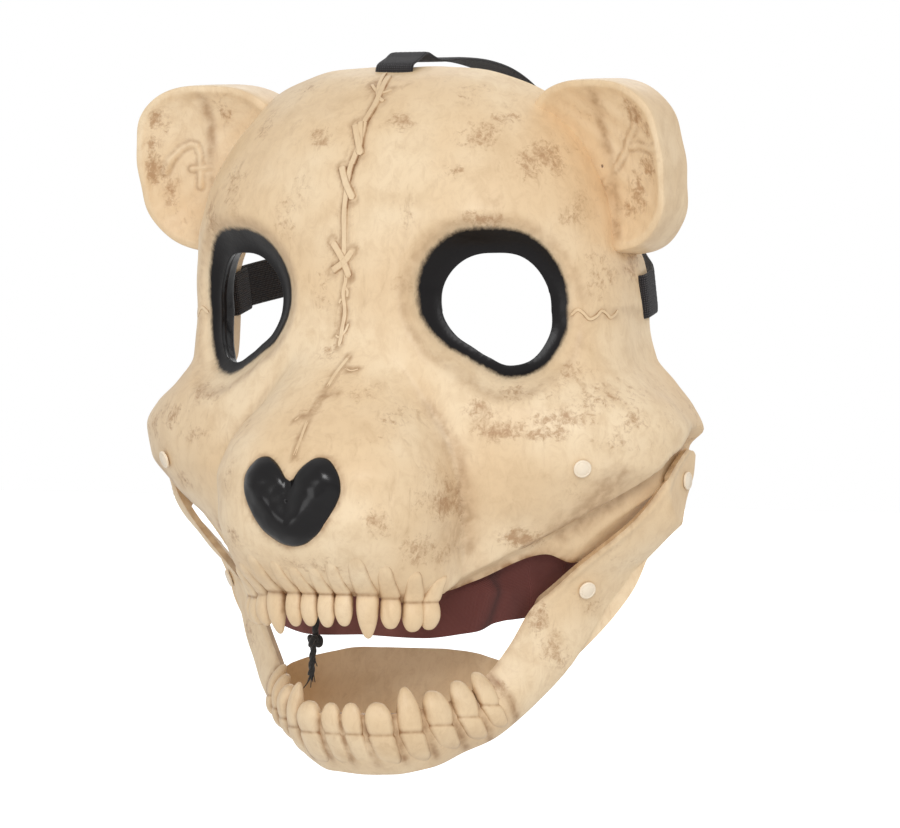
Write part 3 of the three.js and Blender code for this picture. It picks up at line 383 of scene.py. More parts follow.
def skull_point(turn, level):
    """Outer skin by turn, from the midline (0) over the widest line (0.8) to the rear edge
    (1), and by level: an ellipse in plan, with snout, sockets and jaw recess worked in."""
    angle = np.clip(turn / 0.8, 0, 1) * np.pi / 2
    back = np.clip((turn - 0.8) / 0.2, 0, 1)
    half = SKULL["half"](level)
    middle = SKULL["widest"](level) * SHELL_DEPTH
    front = SKULL["front"](level) * SHELL_DEPTH
    x = CHEEK_HALF * (half * np.sin(angle) + (SKULL["rearHalf"](level) - half) * back)
    z = height_of(level) - CROWN_HEIGHT * SKULL["sag"](level) * (1 - np.cos(angle)) ** 1.4
    y = middle - (middle - front) * np.cos(angle) + (SKULL["rear"](level) * SHELL_DEPTH - middle) * back
    y = face_depth(x, z, y) + SOCKET_DEPTH * smooth((1.75 - eye_polar(x, z)[1]) / 0.75)
    over = np.maximum(0, x - jaw_limit(y, z))
    return np.stack([x - over * recess_weight(y, z), y, z], -1)


def skin(x, z):
    """Depth and outward normal of the outer skin in front of a place: the level is found by
    undoing the sag in a few rounds, and the normal comes from nearby depths."""
    def depth(x, z):
        level = level_of(z)
        for _ in range(12):
            share = np.clip(np.abs(x) / (CHEEK_HALF * SKULL["half"](level)), 0, 1)
            drop = CROWN_HEIGHT * SKULL["sag"](level) * (1 - np.sqrt(1 - share**2)) ** 1.4
            level = np.clip(level_of(z + drop), -1.1, 1)
        middle = SKULL["widest"](level) * SHELL_DEPTH
        y = middle - (middle - SKULL["front"](level) * SHELL_DEPTH) * np.sqrt(1 - share**2)
        return face_depth(x, z, y) + SOCKET_DEPTH * smooth((1.75 - eye_polar(x, z)[1]) / 0.75)

    x, z = np.asarray(x, float), np.asarray(z, float)
    slope_x = depth(x + 0.4, z) - depth(x - 0.4, z)
    slope_z = depth(x, z + 0.4) - depth(x, z - 0.4)
    normal = np.stack([slope_x, np.full_like(x, -0.8), slope_z], -1)
    return depth(x, z), normal / np.linalg.norm(normal, axis=-1, keepdims=True)


def even_row(points, count):
    """Points spaced evenly by length along a line of points."""
    lengths = np.concatenate([[0], np.cumsum(np.linalg.norm(np.diff(points, axis=0), axis=1))])
    want = np.linspace(0, lengths[-1], count)
    return np.stack([np.interp(want, lengths, points[:, k]) for k in range(3)], -1)


def mirrored(half):
    """Rows from the midline outwards as rows from side to side."""
    return np.concatenate([half[:, :0:-1] * (-1, 1, 1), half], 1)


def grid_normals(grid):
    """Unit normals of a grid of points, across its neighbours along and up it."""
    normals = np.cross(np.gradient(grid, axis=1), np.gradient(grid, axis=0))
    return normals / np.maximum(np.linalg.norm(normals, axis=-1, keepdims=True), 1e-9)


SKULL_ROWS, HALF_COLUMNS, LIP_SHARE, LIP_TOP = 172, 131, 0.24, -0.6
up = np.linspace(0, 1, SKULL_ROWS)[:, None]
turn = np.linspace(0, 1, 700)[None]
low = LIP["level"](turn) + (LIP_TOP - LIP["level"](turn)) * up / LIP_SHARE
high = LIP_TOP + (1 - LIP_TOP) * (up - LIP_SHARE) / (1 - LIP_SHARE)
dense = skull_point(turn, np.where(up < LIP_SHARE, low, high))
shell = mirrored(np.array([even_row(row, HALF_COLUMNS) for row in dense]))
normals = grid_normals(shell)

# Uneven hand-sculpted surface: long low swells, and shallow dents beside the snout
x, y, z = np.moveaxis(shell, -1, 0)
swell = 0.35 * np.sin(0.09 * x + 1.1 * np.sin(0.05 * z)) * np.sin(0.075 * z + 0.8 + 0.03 * x)
swell += 0.22 * np.sin(0.21 * x + 0.17 * z) * np.sin(0.19 * z - 0.11 * x + 2)
muzzle = np.abs(x) / (SNOUT_HALF * SNOUT["half"](level_of(z)))
crease = np.exp(-((muzzle - 1.04) / 0.07) ** 2) * smooth((-18 - z) / 20) * smooth((z + 92) / 12)
shell = shell + normals * (swell * smooth((z + 88) / 20) - 0.5 * crease)[..., None]

def line_distance(across, up, line):
    """Distance in the plane from each place to the nearest stretch of a line of points."""
    line = np.asarray(line, float)
    nearest = np.full(across.shape, 1e3)
    for a, b in zip(line[:-1], line[1:]):
        run = b - a
        t = np.clip(((across - a[0]) * run[0] + (up - a[1]) * run[1]) / (run @ run), 0, 1)
        nearest = np.minimum(nearest, np.hypot(across - a[0] - t * run[0], up - a[1] - t * run[1]))
    return nearest


# Lines of the seam and cracks by X and Z, each with the width and height of its ribbon
SEAM = [
    ([(0.5, 77), (2, 71), (2.5, 66), (1.5, 60)], 2.6, 0.45),
    ([(1.8, 61), (2.2, 53), (1, 46)], 2.6, 0.45),
    ([(1.0, 48), (0.3, 41), (0.4, 36)], 2.4, 0.4),
    ([(0.4, 38), (0.1, 30), (0.2, 22), (0.1, 15)], 2.3, 0.4),
    ([(0.0, 16), (0.8, 9), (-0.2, 4), (0.4, -2), (-0.6, -8), (-1.2, -14)], 1.8, 0.35),
    ([(-2.4, 78), (1.5, 70), (5, 67.5)], 1.8, 0.4),
    ([(-3.4, 73.6), (1.8, 70.5), (6, 71.5)], 1.5, 0.35),
    ([(-1.6, 60), (1.6, 54), (3.6, 49.5)], 2.9, 0.65),
    ([(0.2, 61), (2.2, 54.5), (2.8, 50)], 2.6, 0.6),
    ([(-2.6, 46), (0, 40), (3.2, 34.8)], 3.0, 0.65),
    ([(-4.2, 21), (-0.6, 15.5), (2.2, 9)], 3.0, 0.65),
    ([(3.3, 18), (0, 14.2), (-4.4, 11.2)], 2.9, 0.65),
    ([(0.2, 15), (1.2, 11.5), (1.8, 9)], 2.2, 0.5),
    ([(0.2, 6), (1.4, 4.6), (1.2, 2.6)], 1.2, 0.3),
    ([(-1.8, 0.5), (-1, 1.8), (0.2, 1.2)], 1.0, 0.25),
    ([(1.8, -6), (0.6, -8.6), (-1.6, -10.6), (-3, -10)], 1.0, 0.3),
]
SNOUT_CRACKS = [
    ([(4.0, -17), (2.2, -22), (1.5, -28), (1.2, -33)], 1.7, 0.3),
    ([(1.4, -31), (0.4, -38), (1.0, -44), (0.4, -49)], 1.5, 0.28),
    ([(1.4, -30), (4.4, -28.6), (6.6, -29)], 0.8, 0.2),
    ([(1.0, -37), (-2.6, -36), (-4.6, -37.5)], 0.8, 0.2),
    ([(3.0, -20), (6.6, -21.5), (9, -21)], 0.8, 0.2),
]
TEMPLE = [(68.0, -3.6), (70.4, -1.6), (72.0, -2.4), (73.6, -4.6), (75.0, -3.8), (76.0, -2.0), (76.8, -2.8),
          (77.4, -4.2), (78.0, -3.4), (78.4, -1.8)]

# Brown wash in the hollows and stains where the photograph's plastic shows them
STAINS = [
    (41, 56, 8, 7, 0.9), (45, 62, 6, 4, 0.8), (59, 48, 8, 9, 0.9), (48, 28, 9, 4, 1.0), (36, 44, 4, 3, 0.8),
    (-18, 41, 5, 9, 0.6), (-22, 28, 6, 10, 0.7), (33, 70, 7, 4, 0.6), (-12, 56, 7, 4, 0.8), (14, 60, 6, 4, 0.8),
    (70, 31, 5, 9, 0.6), (59, -29, 13, 4, 0.7), (72, -37, 13, 4, 0.9), (81, -31, 10, 6, 0.8), (92, -38, 7, 6, 0.6),
    (55, -41, 11, 4, 1.0), (68, -42, 9, 3, 0.9), (88, -45, 9, 4, 0.7), (48, -34, 7, 5, 0.8), (14, -29, 7, 5, 0.6),
    (27, -38, 7, 7, 0.6), (28, -69, 5, 9, 0.7), (36, -79, 5, 7, 0.8), (40, -63, 5, 12, 0.8), (56, -77, 7, 4, 1.0),
    (-27, -38, 7, 8, 0.6), (-26, -56, 6, 9, 0.5), (3, -28, 8, 12, 0.5), (-4, -16, 7, 5, 0.7), (5, -84, 16, 4, 0.6),
    (-8, 5, 5, 9, 0.7), (22, 30, 5, 5, 0.6), (-48, 40, 9, 12, 0.6), (-40, 60, 9, 6, 0.6), (-60, 30, 6, 9, 0.7),
    (-56, -30, 12, 5, 0.8), (-74, -38, 12, 5, 0.9), (-60, -44, 10, 4, 0.8), (-86, -42, 9, 6, 0.7),
    (-54, -76, 8, 4, 0.9), (-70, -60, 7, 5, 0.6), (76, 12, 4, 12, 0.7), (-76, 8, 4, 12, 0.7), (72, -22, 6, 5, 0.7),
    (0, 74, 14, 4, 0.4), (-30, 72, 9, 4, 0.5), (20, 8, 5, 7, 0.4), (-26, -76, 6, 7, 0.7), (74, -62, 10, 4, 0.5),
]
x, y, z = np.moveaxis(shell, -1, 0)
stain = np.zeros_like(x)
for stain_x, stain_z, wide, tall, strength in STAINS:
    stain = np.maximum(stain, strength * np.exp(-((x - stain_x) / wide) ** 2 - ((z - stain_z) / tall) ** 2))
eye_turn, eye_share = eye_polar(x, z)
sunk = recess_weight(y, z)
lip_gap = np.linalg.norm(shell - shell[:1], axis=-1)
wash = 0.75 * np.exp(-((sunk - 0.35) / 0.2) ** 2) * (np.abs(x) > 55) * smooth((-46 - z) / 12)
wash = np.maximum(wash, 0.35 * crease)
wash = np.maximum(wash, 0.8 * np.exp(-lip_gap / 2.2) * (np.abs(x) > 33))
wash = np.maximum(wash, 0.75 * np.exp(-((lip_gap - 1) / 4.5) ** 2) * (np.abs(x) < 35))
wash = np.maximum(wash, 0.25 * np.exp(-((eye_share - 1.55) / 0.1) ** 2))
groove_gap = line_distance(np.abs(x), z, [(64, -76), (76, -67), (87, -55)])
wash = np.maximum(wash, 0.4 * np.exp(-(groove_gap / 3) ** 2))
in_front = smooth((HINGE_DEPTH - 30 - y) / 10)
for places, wide, _ in SEAM + SNOUT_CRACKS:
    beside = line_distance(x, z, places) - 0.5 * wide
    wash = np.maximum(wash, 0.5 * np.exp(-(beside / 0.7) ** 2) * in_front)
    stain = np.maximum(stain, 0.35 * np.exp(-(beside / 4) ** 2) * in_front)
for mirror in (1, -1):
    beside = line_distance(x * mirror, z, TEMPLE)
    wash = np.maximum(wash, 0.3 * np.exp(-(beside / 1.2) ** 2))
nose_turn = np.degrees(np.arctan2(np.abs(x), z - NOSE_LEVEL))
nose_gap = np.hypot(x, z - NOSE_LEVEL) - NOSE["reach"](nose_turn)
wash = np.maximum(wash, 0.5 * np.exp(-((nose_gap - 0.3) / 0.9) ** 2) * in_front)
RIM_TURN = np.radians(eye_turn)
rim_edge = 1.30 + 0.11 * np.sin(RIM_TURN) - 0.02 * np.cos(RIM_TURN)
black = np.clip(0.5 + 2.2 * (rim_edge - eye_share), 0, 1)


def bone_finish(name, worn=1.0):
    """Cream plastic: two creams in slow clouds, streaks of thin brown wash, stains broken
    up by fine noise, and black spray where the field called black says so. Fine grain and
    the stains' own edges are in the bump. Worn is how much of the brown there is."""
    finish, tree, shader = new_finish(name, 0.46)
    place = node(tree, "ShaderNodeTexCoord").outputs["Object"]

    def noise(scale, detail, roughness=0.5, stretch=None, distortion=0.0):
        vector = place
        if stretch:
            vector = node(tree, "ShaderNodeMapping", {"Vector": place, "Scale": stretch}).outputs["Vector"]
        return node(tree, "ShaderNodeTexNoise", {"Vector": vector, "Scale": scale, "Detail": detail,
                                                 "Roughness": roughness, "Distortion": distortion}).outputs["Fac"]

    def maths(kind, a, b):
        return node(tree, "ShaderNodeMath", {0: a, 1: b}, operation=kind).outputs[0]

    def between(value, low, high):
        return node(tree, "ShaderNodeMapRange", {"Value": value, "From Min": low, "From Max": high},
                    interpolation_type="SMOOTHSTEP").outputs["Result"]

    def mixed(share, under, over):
        return node(tree, "ShaderNodeMix", {0: share, 6: under, 7: over}, data_type="RGBA").outputs[2]

    def field(called):
        return node(tree, "ShaderNodeAttribute", attribute_name=called).outputs["Fac"]

    cream = mixed(between(noise(22, 3), 0.35, 0.65), paint(230, 201, 161), paint(241, 218, 183))
    cream = mixed(maths("MULTIPLY", between(noise(75, 5, 0.6), 0.48, 0.75), 0.55), cream, paint(214, 184, 144))
    mottle = between(noise(240, 7, 0.75, (1.0, 1.0, 0.6), 0.8), 0.42, 0.66)
    cream = mixed(maths("MULTIPLY", mottle, 0.30), cream, paint(205, 172, 132))
    streaks = between(noise(210, 6, 0.65, (1.0, 1.0, 0.3), 0.6), 0.56, 0.74)
    stain = maths("MULTIPLY", field("stain"), worn)
    cream = mixed(maths("MULTIPLY", streaks, maths("ADD", maths("MULTIPLY", stain, 0.5), 0.2)), cream,
                  paint(176, 138, 98))
    broken = maths("ADD", noise(480, 9, 0.74, None, 0.5), maths("MULTIPLY", noise(110, 3), 0.5))
    spots = between(maths("ADD", broken, maths("MULTIPLY", stain, 0.30)), 0.88, 1.16)
    spots = maths("MULTIPLY", spots, between(stain, 0.03, 0.5))
    cream = mixed(maths("MULTIPLY", spots, 0.78), cream, paint(172, 130, 90))
    specks = between(noise(620, 4, 0.6), 0.70, 0.78)
    cream = mixed(maths("MULTIPLY", specks, 0.25), cream, paint(150, 112, 80))
    wash = maths("MULTIPLY", field("wash"), worn)
    washed = maths("MULTIPLY", wash, maths("ADD", between(noise(260, 5), 0.3, 0.7), 0.55))
    cream = mixed(washed, cream, paint(158, 118, 80))
    fuzz = maths("MULTIPLY", maths("SUBTRACT", noise(520, 6, 0.7, (1, 1, 0.45)), 0.5), 0.24)
    spray = between(maths("ADD", field("black"), fuzz), 0.36, 0.58)
    halo = between(maths("ADD", field("black"), fuzz), 0.12, 0.5)
    cream = mixed(maths("MULTIPLY", halo, 0.22), cream, paint(120, 104, 88))
    tree.links.new(mixed(spray, cream, paint(17, 14, 15)), shader.inputs["Base Color"])
    tree.links.new(maths("SUBTRACT", 0.45, maths("MULTIPLY", spray, 0.2)), shader.inputs["Specular IOR Level"])
    satin = maths("ADD", maths("MULTIPLY", noise(120, 4), 0.16), 0.36)
    satin = maths("SUBTRACT", satin, maths("MULTIPLY", spray, 0.12))
    tree.links.new(satin, shader.inputs["Roughness"])
    grain = maths("ADD", maths("MULTIPLY", noise(900, 3), 0.25), maths("MULTIPLY", noise(160, 5), 0.9))
    grain = maths("SUBTRACT", grain, maths("MULTIPLY", spots, 0.35))
    bump = node(tree, "ShaderNodeBump", {"Height": grain, "Distance": 0.0005, "Strength": 0.35})
    tree.links.new(bump.outputs["Normal"], shader.inputs["Normal"])
    return finish


bone, bone_inside = bone_finish("cream_bone_plastic"), bone_finish("cream_bone_inside", worn=0.12)

# Each eye hole is left open, and the points round it are drawn onto its outline
faces = grid_faces(SKULL_ROWS, 2 * HALF_COLUMNS - 1)
points = shell.reshape(-1, 3)
flat_normals = grid_normals(shell).reshape(-1, 3)
share = eye_share.ravel()
in_hole = share[faces].mean(1) < 1
at_edge = np.intersect1d(faces[in_hole], faces[~in_hole])
edge = points[at_edge]
eye_middle = np.stack([np.sign(edge[:, 0]) * EYE_SPACING / 2, np.full(len(edge), -0.1 * EYE_HALF_HEIGHT)], -1)
moved = eye_middle + (edge[:, [0, 2]] - eye_middle) / share[at_edge][:, None]
shift = moved - edge[:, [0, 2]]
edge_normals = flat_normals[at_edge]
rise = -(edge_normals[:, 0] * shift[:, 0] + edge_normals[:, 2] * shift[:, 1]) / edge_normals[:, 1]
points[at_edge] = np.stack([moved[:, 0], edge[:, 1] + rise, moved[:, 1]], -1)
used, faces_left = np.unique(faces[~in_hole], return_inverse=True)
skull = put_mesh("skull_mask", points[used], faces_left.reshape(-1, 4), bone, wash=wash.ravel()[used],
                 stain=stain.ravel()[used], black=black.ravel()[used])


def settle(piece):
    """The piece's modifiers worked into its mesh, with creases kept sharp."""
    solid = bpy.data.meshes.new_from_object(piece.evaluated_get(bpy.context.evaluated_depsgraph_get()))
    piece.modifiers.clear()
    piece.data = solid
    solid.shade_smooth()
    solid.set_sharp_from_angle(angle=math.radians(50))


def add_wall(piece, wall, inside=None):
    """Gives a sheet its wall behind its outer skin, and the inside its own finish."""
    solidify = piece.modifiers.new("wall", "SOLIDIFY")
    solidify.thickness = wall * 0.001
    solidify.offset = -1
    if inside:
        piece.data.materials.append(inside)
        solidify.material_offset = 1
    settle(piece)


add_wall(skull, WALL, bone_inside)
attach(skull, "skull")
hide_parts("skull_shell")

# Eye rims: at each hole the plastic turns in and makes a short wall, sprayed glossy
# black. The wall stands square to the skin round it and is part of the moulding.

RIM_WALL, RIM_DEPTH = 1.1, 6.5
RIM_PROFILE = [(0.5, 0.7), (0.12, 0.28), (-0.05, 0.02), (-0.35, -0.04), (-0.5, 0.4), (-0.5, 5.9), (-0.3, 6.5),
               (0.3, 6.5), (0.6, 5.8), (0.6, 1.6)]

gloss, tree, shader = new_finish("black_spray", 0.22, paint(9, 6, 7))
place = node(tree, "ShaderNodeTexCoord").outputs["Object"]
drips = node(tree, "ShaderNodeTexNoise", {"Vector": place, "Scale": 190.0, "Detail": 1.0})
lumps = node(tree, "ShaderNodeBump", {"Height": drips.outputs["Fac"], "Distance": 0.0012, "Strength": 0.25})
tree.links.new(lumps.outputs["Normal"], shader.inputs["Normal"])
shader.inputs["Specular IOR Level"].default_value = 0.38

for side, name in ((1, "left"), (-1, "right")):
    ring = points[at_edge][points[at_edge][:, 0] * side > 0]
    around = np.arctan2(ring[:, 2] + 0.1 * EYE_HALF_HEIGHT, ring[:, 0] - side * EYE_SPACING / 2)
    order = np.argsort(around)
    even = np.linspace(-np.pi, np.pi, 160, endpoint=False)
    line = np.stack([np.interp(even, around[order], ring[order, k], period=2 * np.pi) for k in range(3)], -1)
    ahead = np.roll(line, -1, 0) - np.roll(line, 1, 0)
    ahead /= np.linalg.norm(ahead, axis=1, keepdims=True)
    off_hole = line - (side * EYE_SPACING / 2, 0, -0.1 * EYE_HALF_HEIGHT)
    inward = -skin(line[:, 0] + 2 * np.sign(off_hole[:, 0]), line[:, 2] + 2 * np.sign(off_hole[:, 2]))[1]
    inward -= ahead * (inward * ahead).sum(1, keepdims=True)
    inward = inward + (0, 0.6, 0)
    inward /= np.linalg.norm(inward, axis=1, keepdims=True)
    outward = np.cross(ahead, inward)
    outward *= np.sign((outward * off_hole * (1, 0, 1)).sum(1, keepdims=True))
    profile = np.array(RIM_PROFILE)
    rim_points = (line[:, None] + outward[:, None] * (profile[:, :1] + 0.05) + inward[:, None] * profile[:, 1:])
    rim_faces = grid_faces(161, len(profile), round_way=True) % (160 * len(profile))
    if side > 0:
        rim_faces = rim_faces[:, ::-1]
    rim = put_mesh(f"eye_rim_{name}", rim_points, rim_faces, gloss)
    bevel = rim.modifiers.new("round", "SUBSURF")
    bevel.levels = bevel.render_levels = 1
    settle(rim)
    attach(rim, "skull")

# Ears: round dishes moulded in one with the skull, with a side wall and a hollow back.
# Each has a raised double crack and mottled stains, and a brown line where it joins.

EAR_REACH, EAR_LEVEL, EAR_HALF_WIDTH, EAR_HALF_HEIGHT = 99, 46, 27, 28.5
EAR_FRONT, EAR_SIDE_DEPTH, EAR_WALL = 40, 18.5, 2 / 18.5
EAR = table("step scale back", [
    (0, 0.94, 1.0), (1, 0.90, 0.2 + EAR_WALL), (2, 0.84, 0.12 + EAR_WALL), (3, 0.5, 0.32 + EAR_WALL),
    (4, 0.02, 0.36 + EAR_WALL), (5, 0.02, 0.36), (6, 0.3, 0.355), (7, 0.5, 0.32), (8, 0.7, 0.22),
    (9, 0.84, 0.10), (10, 0.93, 0.01), (11, 0.985, 0.03), (12, 1.003, 0.13), (13, 1.02, 0.6), (14, 1.03, 1.0),
])
EAR_CRACKS = {
    "left": [[(0, -6), (3, -3), (7, 1), (10, 5), (12, 9), (15, 12), (16, 17)], [(12, 6), (16, 6.5), (22, 5), (26, 6)]],
    "right": [[(19, -1), (17, 3), (13, 7), (10, 8.5), (8, 8), (7.2, 5), (7.4, 0), (8, -6)], [(4.6, 0.5), (10.2, 0)]],
}
EAR_STAINS = {
    "left": [(17, 18, 5, 5, 1.0), (22, 12, 5, 4, 0.8), (20, -1, 5, 7, 1.0), (14, -8, 5, 7, 1.0), (8, -14, 6, 6, 0.9),
             (4, -21, 4, 6, 0.7), (-4, 18, 8, 4, 0.5), (11, 10, 4, 4, 0.6)],
    "right": [(19, 16, 5, 6, 1.0), (22, 8, 4, 7, 1.0), (22, 0, 4, 6, 0.9), (17, -9, 3, 7, 0.9), (-4, 20, 5, 5, 0.9),
              (3, 2, 3, 5, 0.6), (15, -18, 5, 4, 0.4)],
}

hollow_rows = (shell - grid_normals(shell) * 0.4 * WALL)[::3, ::2]
n_rows, n_cols = hollow_rows.shape[:2]
hollow_points = np.concatenate([hollow_rows.reshape(-1, 3), hollow_rows[:1].mean(1), hollow_rows[-1:].mean(1)])
hollow_faces = grid_faces(n_rows, n_cols, round_way=True).tolist()
k = np.arange(n_cols)
after = (k + 1) % n_cols
hollow_faces += np.stack([np.full(n_cols, n_rows * n_cols), after, k], -1).tolist()
top = (n_rows - 1) * n_cols
hollow_faces += np.stack([np.full(n_cols, n_rows * n_cols + 1), top + k, top + after], -1).tolist()
trimmer = put_mesh("shell_hollow", hollow_points, hollow_faces, bone)

for side, name in ((1, "left"), (-1, "right")):
    step = np.concatenate([np.linspace(0, 5, 22), np.linspace(5, 9, 46)[1:], np.linspace(9, 14, 40)[1:]])[:, None]
    angle = np.linspace(0, 2 * np.pi, 180, endpoint=False)[None]
    c, s = np.cos(angle), np.sin(angle)
    round_way = (np.abs(c) ** 2.7 + np.abs(s) ** 2.7) ** (-1 / 2.7)
    over = EAR_HALF_WIDTH * EAR["scale"](step) * round_way * c
    up_ear = EAR_HALF_HEIGHT * EAR["scale"](step) * round_way * s
    lean = 0.25 * (up_ear - 0.14 * EAR_HALF_HEIGHT) + 0.2 * over
    depth = EAR_FRONT - lean + EAR_SIDE_DEPTH * EAR["back"](step)
    front = smooth((step - 5.2) / 0.6) * smooth((10.5 - step) / 1.5)
    crack = np.minimum(*[line_distance(over, up_ear, line) for line in EAR_CRACKS[name]])
    ridge = 0.5 * np.exp(-(crack / 0.75) ** 2) - 0.28 * np.exp(-((crack - 1.5) / 0.55) ** 2)
    lumpy = 0.5 * np.sin(0.33 * over + 1.3) * np.sin(0.29 * up_ear + 0.6 * side) + 0.2 * np.sin(0.7 * over + 0.9 * up_ear)
    depth = depth - front * (ridge + 0.5 * lumpy)
    reach = EAR_REACH - EAR_HALF_WIDTH + over + 0.25 * np.sin(0.4 * up_ear + 1) * smooth((step - 9) / 2)
    ear_points = np.stack([side * reach, depth, EAR_LEVEL + up_ear], -1)
    ear_faces = grid_faces(*ear_points.shape[:2], round_way=True)
    back_edge = np.stack([(len(step) - 1) * 180 + np.arange(180), (len(step) - 1) * 180 + (np.arange(180) + 1) % 180,
                          (np.arange(180) + 1) % 180, np.arange(180)], -1)
    ear_faces = np.concatenate([ear_faces, back_edge])
    if side < 0:
        ear_faces = ear_faces[:, ::-1]
    stain_ear = np.zeros_like(reach)
    for a, b, wide, tall, strength in EAR_STAINS[name]:
        stain_ear = np.maximum(stain_ear, strength * np.exp(-((over - a) / wide) ** 2 - ((up_ear - b) / tall) ** 2))
    wash_ear = front * (0.34 * np.exp(-((crack - 1.35) / 0.55) ** 2) + 0.06 * np.exp(-(crack / 4) ** 2))
    inner_line = np.abs(reach - 100 * SKULL["half"](level_of(EAR_LEVEL + up_ear + 14)))
    wash_ear = np.maximum(wash_ear, front * 0.45 * np.exp(-(inner_line / 2) ** 2))
    ear = put_mesh(f"ear_{name}", ear_points, ear_faces, bone, wash=wash_ear, stain=stain_ear * front)
    trim = ear.modifiers.new("trim", "BOOLEAN")
    trim.object = trimmer
    trim.operation = "DIFFERENCE"
    trim.solver = "EXACT"
    settle(ear)
    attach(ear, "skull")
bpy.data.objects.remove(trimmer)

# Nose: a raised heart with two thick rolls, moulded on the snout and sprayed glossy black.

scale = np.concatenate([np.linspace(0.02, 1, 12), np.cos(np.linspace(0.06, np.pi / 2, 50)) ** 0.85])[:, None]
angle = (np.arange(144)[None] + 0.5) / 144 * 2 * np.pi
nose_reach = scale * NOSE["reach"](np.degrees(np.arccos(np.cos(angle))))
nose_x, nose_up = nose_reach * np.sin(angle), nose_reach * np.cos(angle)
nose_z = NOSE_LEVEL + nose_up
nose_y, nose_normal = skin(nose_x, nose_z)
dome = NOSE_RISE * np.clip(1 - scale**3, 0, 1) ** 0.5
roll = line_distance(np.abs(nose_x), nose_up, [(12.2, 8.0), (8.5, 1.5), (2.6, -6.5), (0.5, -8.5)])
valley = np.exp(-(nose_x / 3.4) ** 2) * smooth((nose_up + 7) / 10)
dome = dome * (0.66 + 0.5 * np.exp(-(roll / 5.2) ** 2)) * (1 - 0.4 * valley)
inside = np.clip(1 - scale**4, 0, 1)
dome = dome + 0.22 * np.sin(0.62 * nose_x + 0.5) * np.sin(0.7 * nose_up + 1) * inside
dome[:12] = -1.2
nose_points = np.stack([nose_x, nose_y, nose_z], -1) + nose_normal * dome[..., None]
nose_faces = grid_faces(*nose_points.shape[:2], round_way=True).tolist()
rings = len(nose_points)
k = np.arange(144)
after = (k + 1) % 144
nose_faces += np.stack([np.full(144, rings * 144), after, k], -1).tolist()
nose_mid = np.array([[0, 0, NOSE_LEVEL]], float)
nose_mid[:, 1] = nose_points[-1, :, 1].mean()
nose_back = nose_mid.copy()
nose_back[:, 1] = nose_points[0, :, 1].mean()
nose_faces += np.stack([np.full(144, rings * 144 + 1), (rings - 1) * 144 + k, (rings - 1) * 144 + after], -1).tolist()
nose_points = np.concatenate([nose_points.reshape(-1, 3), nose_back, nose_mid])
nose = put_mesh("nose_heart", nose_points, nose_faces, gloss)
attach(nose, "skull")

# Seams and stitches: a raised double line down the forehead with moulded cross stitches,
# thin cracks at its foot and down the snout, and a zigzag suture at each temple. They are
# low ribbons of the same plastic with brown wash along both sides.


def surface_line(places, count):
    """Points and outward normals on the skin along a line of given X and Z values."""
    line = curve_through(np.insert(np.asarray(places, float), 1, 0, axis=1), count)
    depth, normal = skin(line[:, 0], line[:, 2])
    line[:, 1] = depth
    return line, normal


def ribbon(places, wide, rise, count=40, groove=0.0):
    """Low ribbon on the skin: across it the height is a rounded bar, lowered in the middle
    by the groove, and its ends taper. Returns points, faces, and how far out each lies."""
    line, normal = surface_line(places, count)
    ahead = np.gradient(line, axis=0)
    ahead /= np.linalg.norm(ahead, axis=1, keepdims=True)
    across = np.cross(normal, ahead)
    side = np.array([-1, -1, -0.85, -0.6, -0.3, 0, 0.3, 0.6, 0.85, 1, 1])
    high = np.array([-0.5, 0.0, 0.62, 0.95, 1.0 - groove, 0.9 - groove, 1.0 - groove, 0.95, 0.62, 0.0, -0.5])
    taper = smooth(np.minimum(np.arange(count), np.arange(count)[::-1]) / 2.5 + 0.15)[:, None]
    points = (line[:, None] + across[:, None] * (0.5 * wide * side * taper)[..., None]
              + normal[:, None] * (rise * high * taper)[..., None])
    faces = grid_faces(count, len(side)).tolist()
    n = len(side)
    faces += [[j * n, (j + 1) * n, (j + 1) * n + n - 1, j * n + n - 1] for j in range(count - 1)]
    faces += [list(range(n)), list(range(count * n - 1, (count - 1) * n - 1, -1))]
    return points.reshape(-1, 3), faces, np.broadcast_to(np.abs(side), (count, n)).ravel()


ribbons, edges_out = [], []
for places, wide, rise in SEAM + SNOUT_CRACKS:
    ribbon_points, ribbon_faces, out_share = ribbon(places, wide, rise, 44, 0.12)
    ribbons.append((ribbon_points, ribbon_faces))
    edges_out.append(out_share)
for mirror in (1, -1):
    places = [(mirror * a, b) for a, b in TEMPLE]
    ribbon_points, ribbon_faces, out_share = ribbon(places, 1.3, 0.35, 90, 0.1)
    ribbons.append((ribbon_points, ribbon_faces))
    edges_out.append(out_share)
edges_out = np.concatenate(edges_out)
seam = put_mesh("seam_ribbons", *joined(ribbons), bone, wash=0.75 * smooth((edges_out - 0.55) / 0.35))
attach(seam, "skull")

# Upper teeth: moulded on the lip, each with a root that shows as a ridge on the muzzle.
# Brown wash lies in the gaps, at the gum line and between the roots.

INCISOR_LENGTH = 11.5
UPPER_TEETH = [
    (0.075, 6.3, 0.96, 10, 0.8), (0.218, 6.3, 0.95, 12, 1.6), (0.405, 8.2, 1.22, 14, 2.8), (0.56, 7.2, 0.90, 12, 3.8),
    (0.685, 7.6, 0.84, 11, 4.8), (0.79, 7.2, 0.80, 9, 5.4),
]


def lip_height(x):
    """Height of the skull's lower edge at a distance from the midline."""
    share = np.clip(np.abs(x) / (CHEEK_HALF * SKULL["half"](-1.0)), 0, 1)
    return height_of(LIP["level"](0.8 * np.arcsin(share) / (np.pi / 2)))


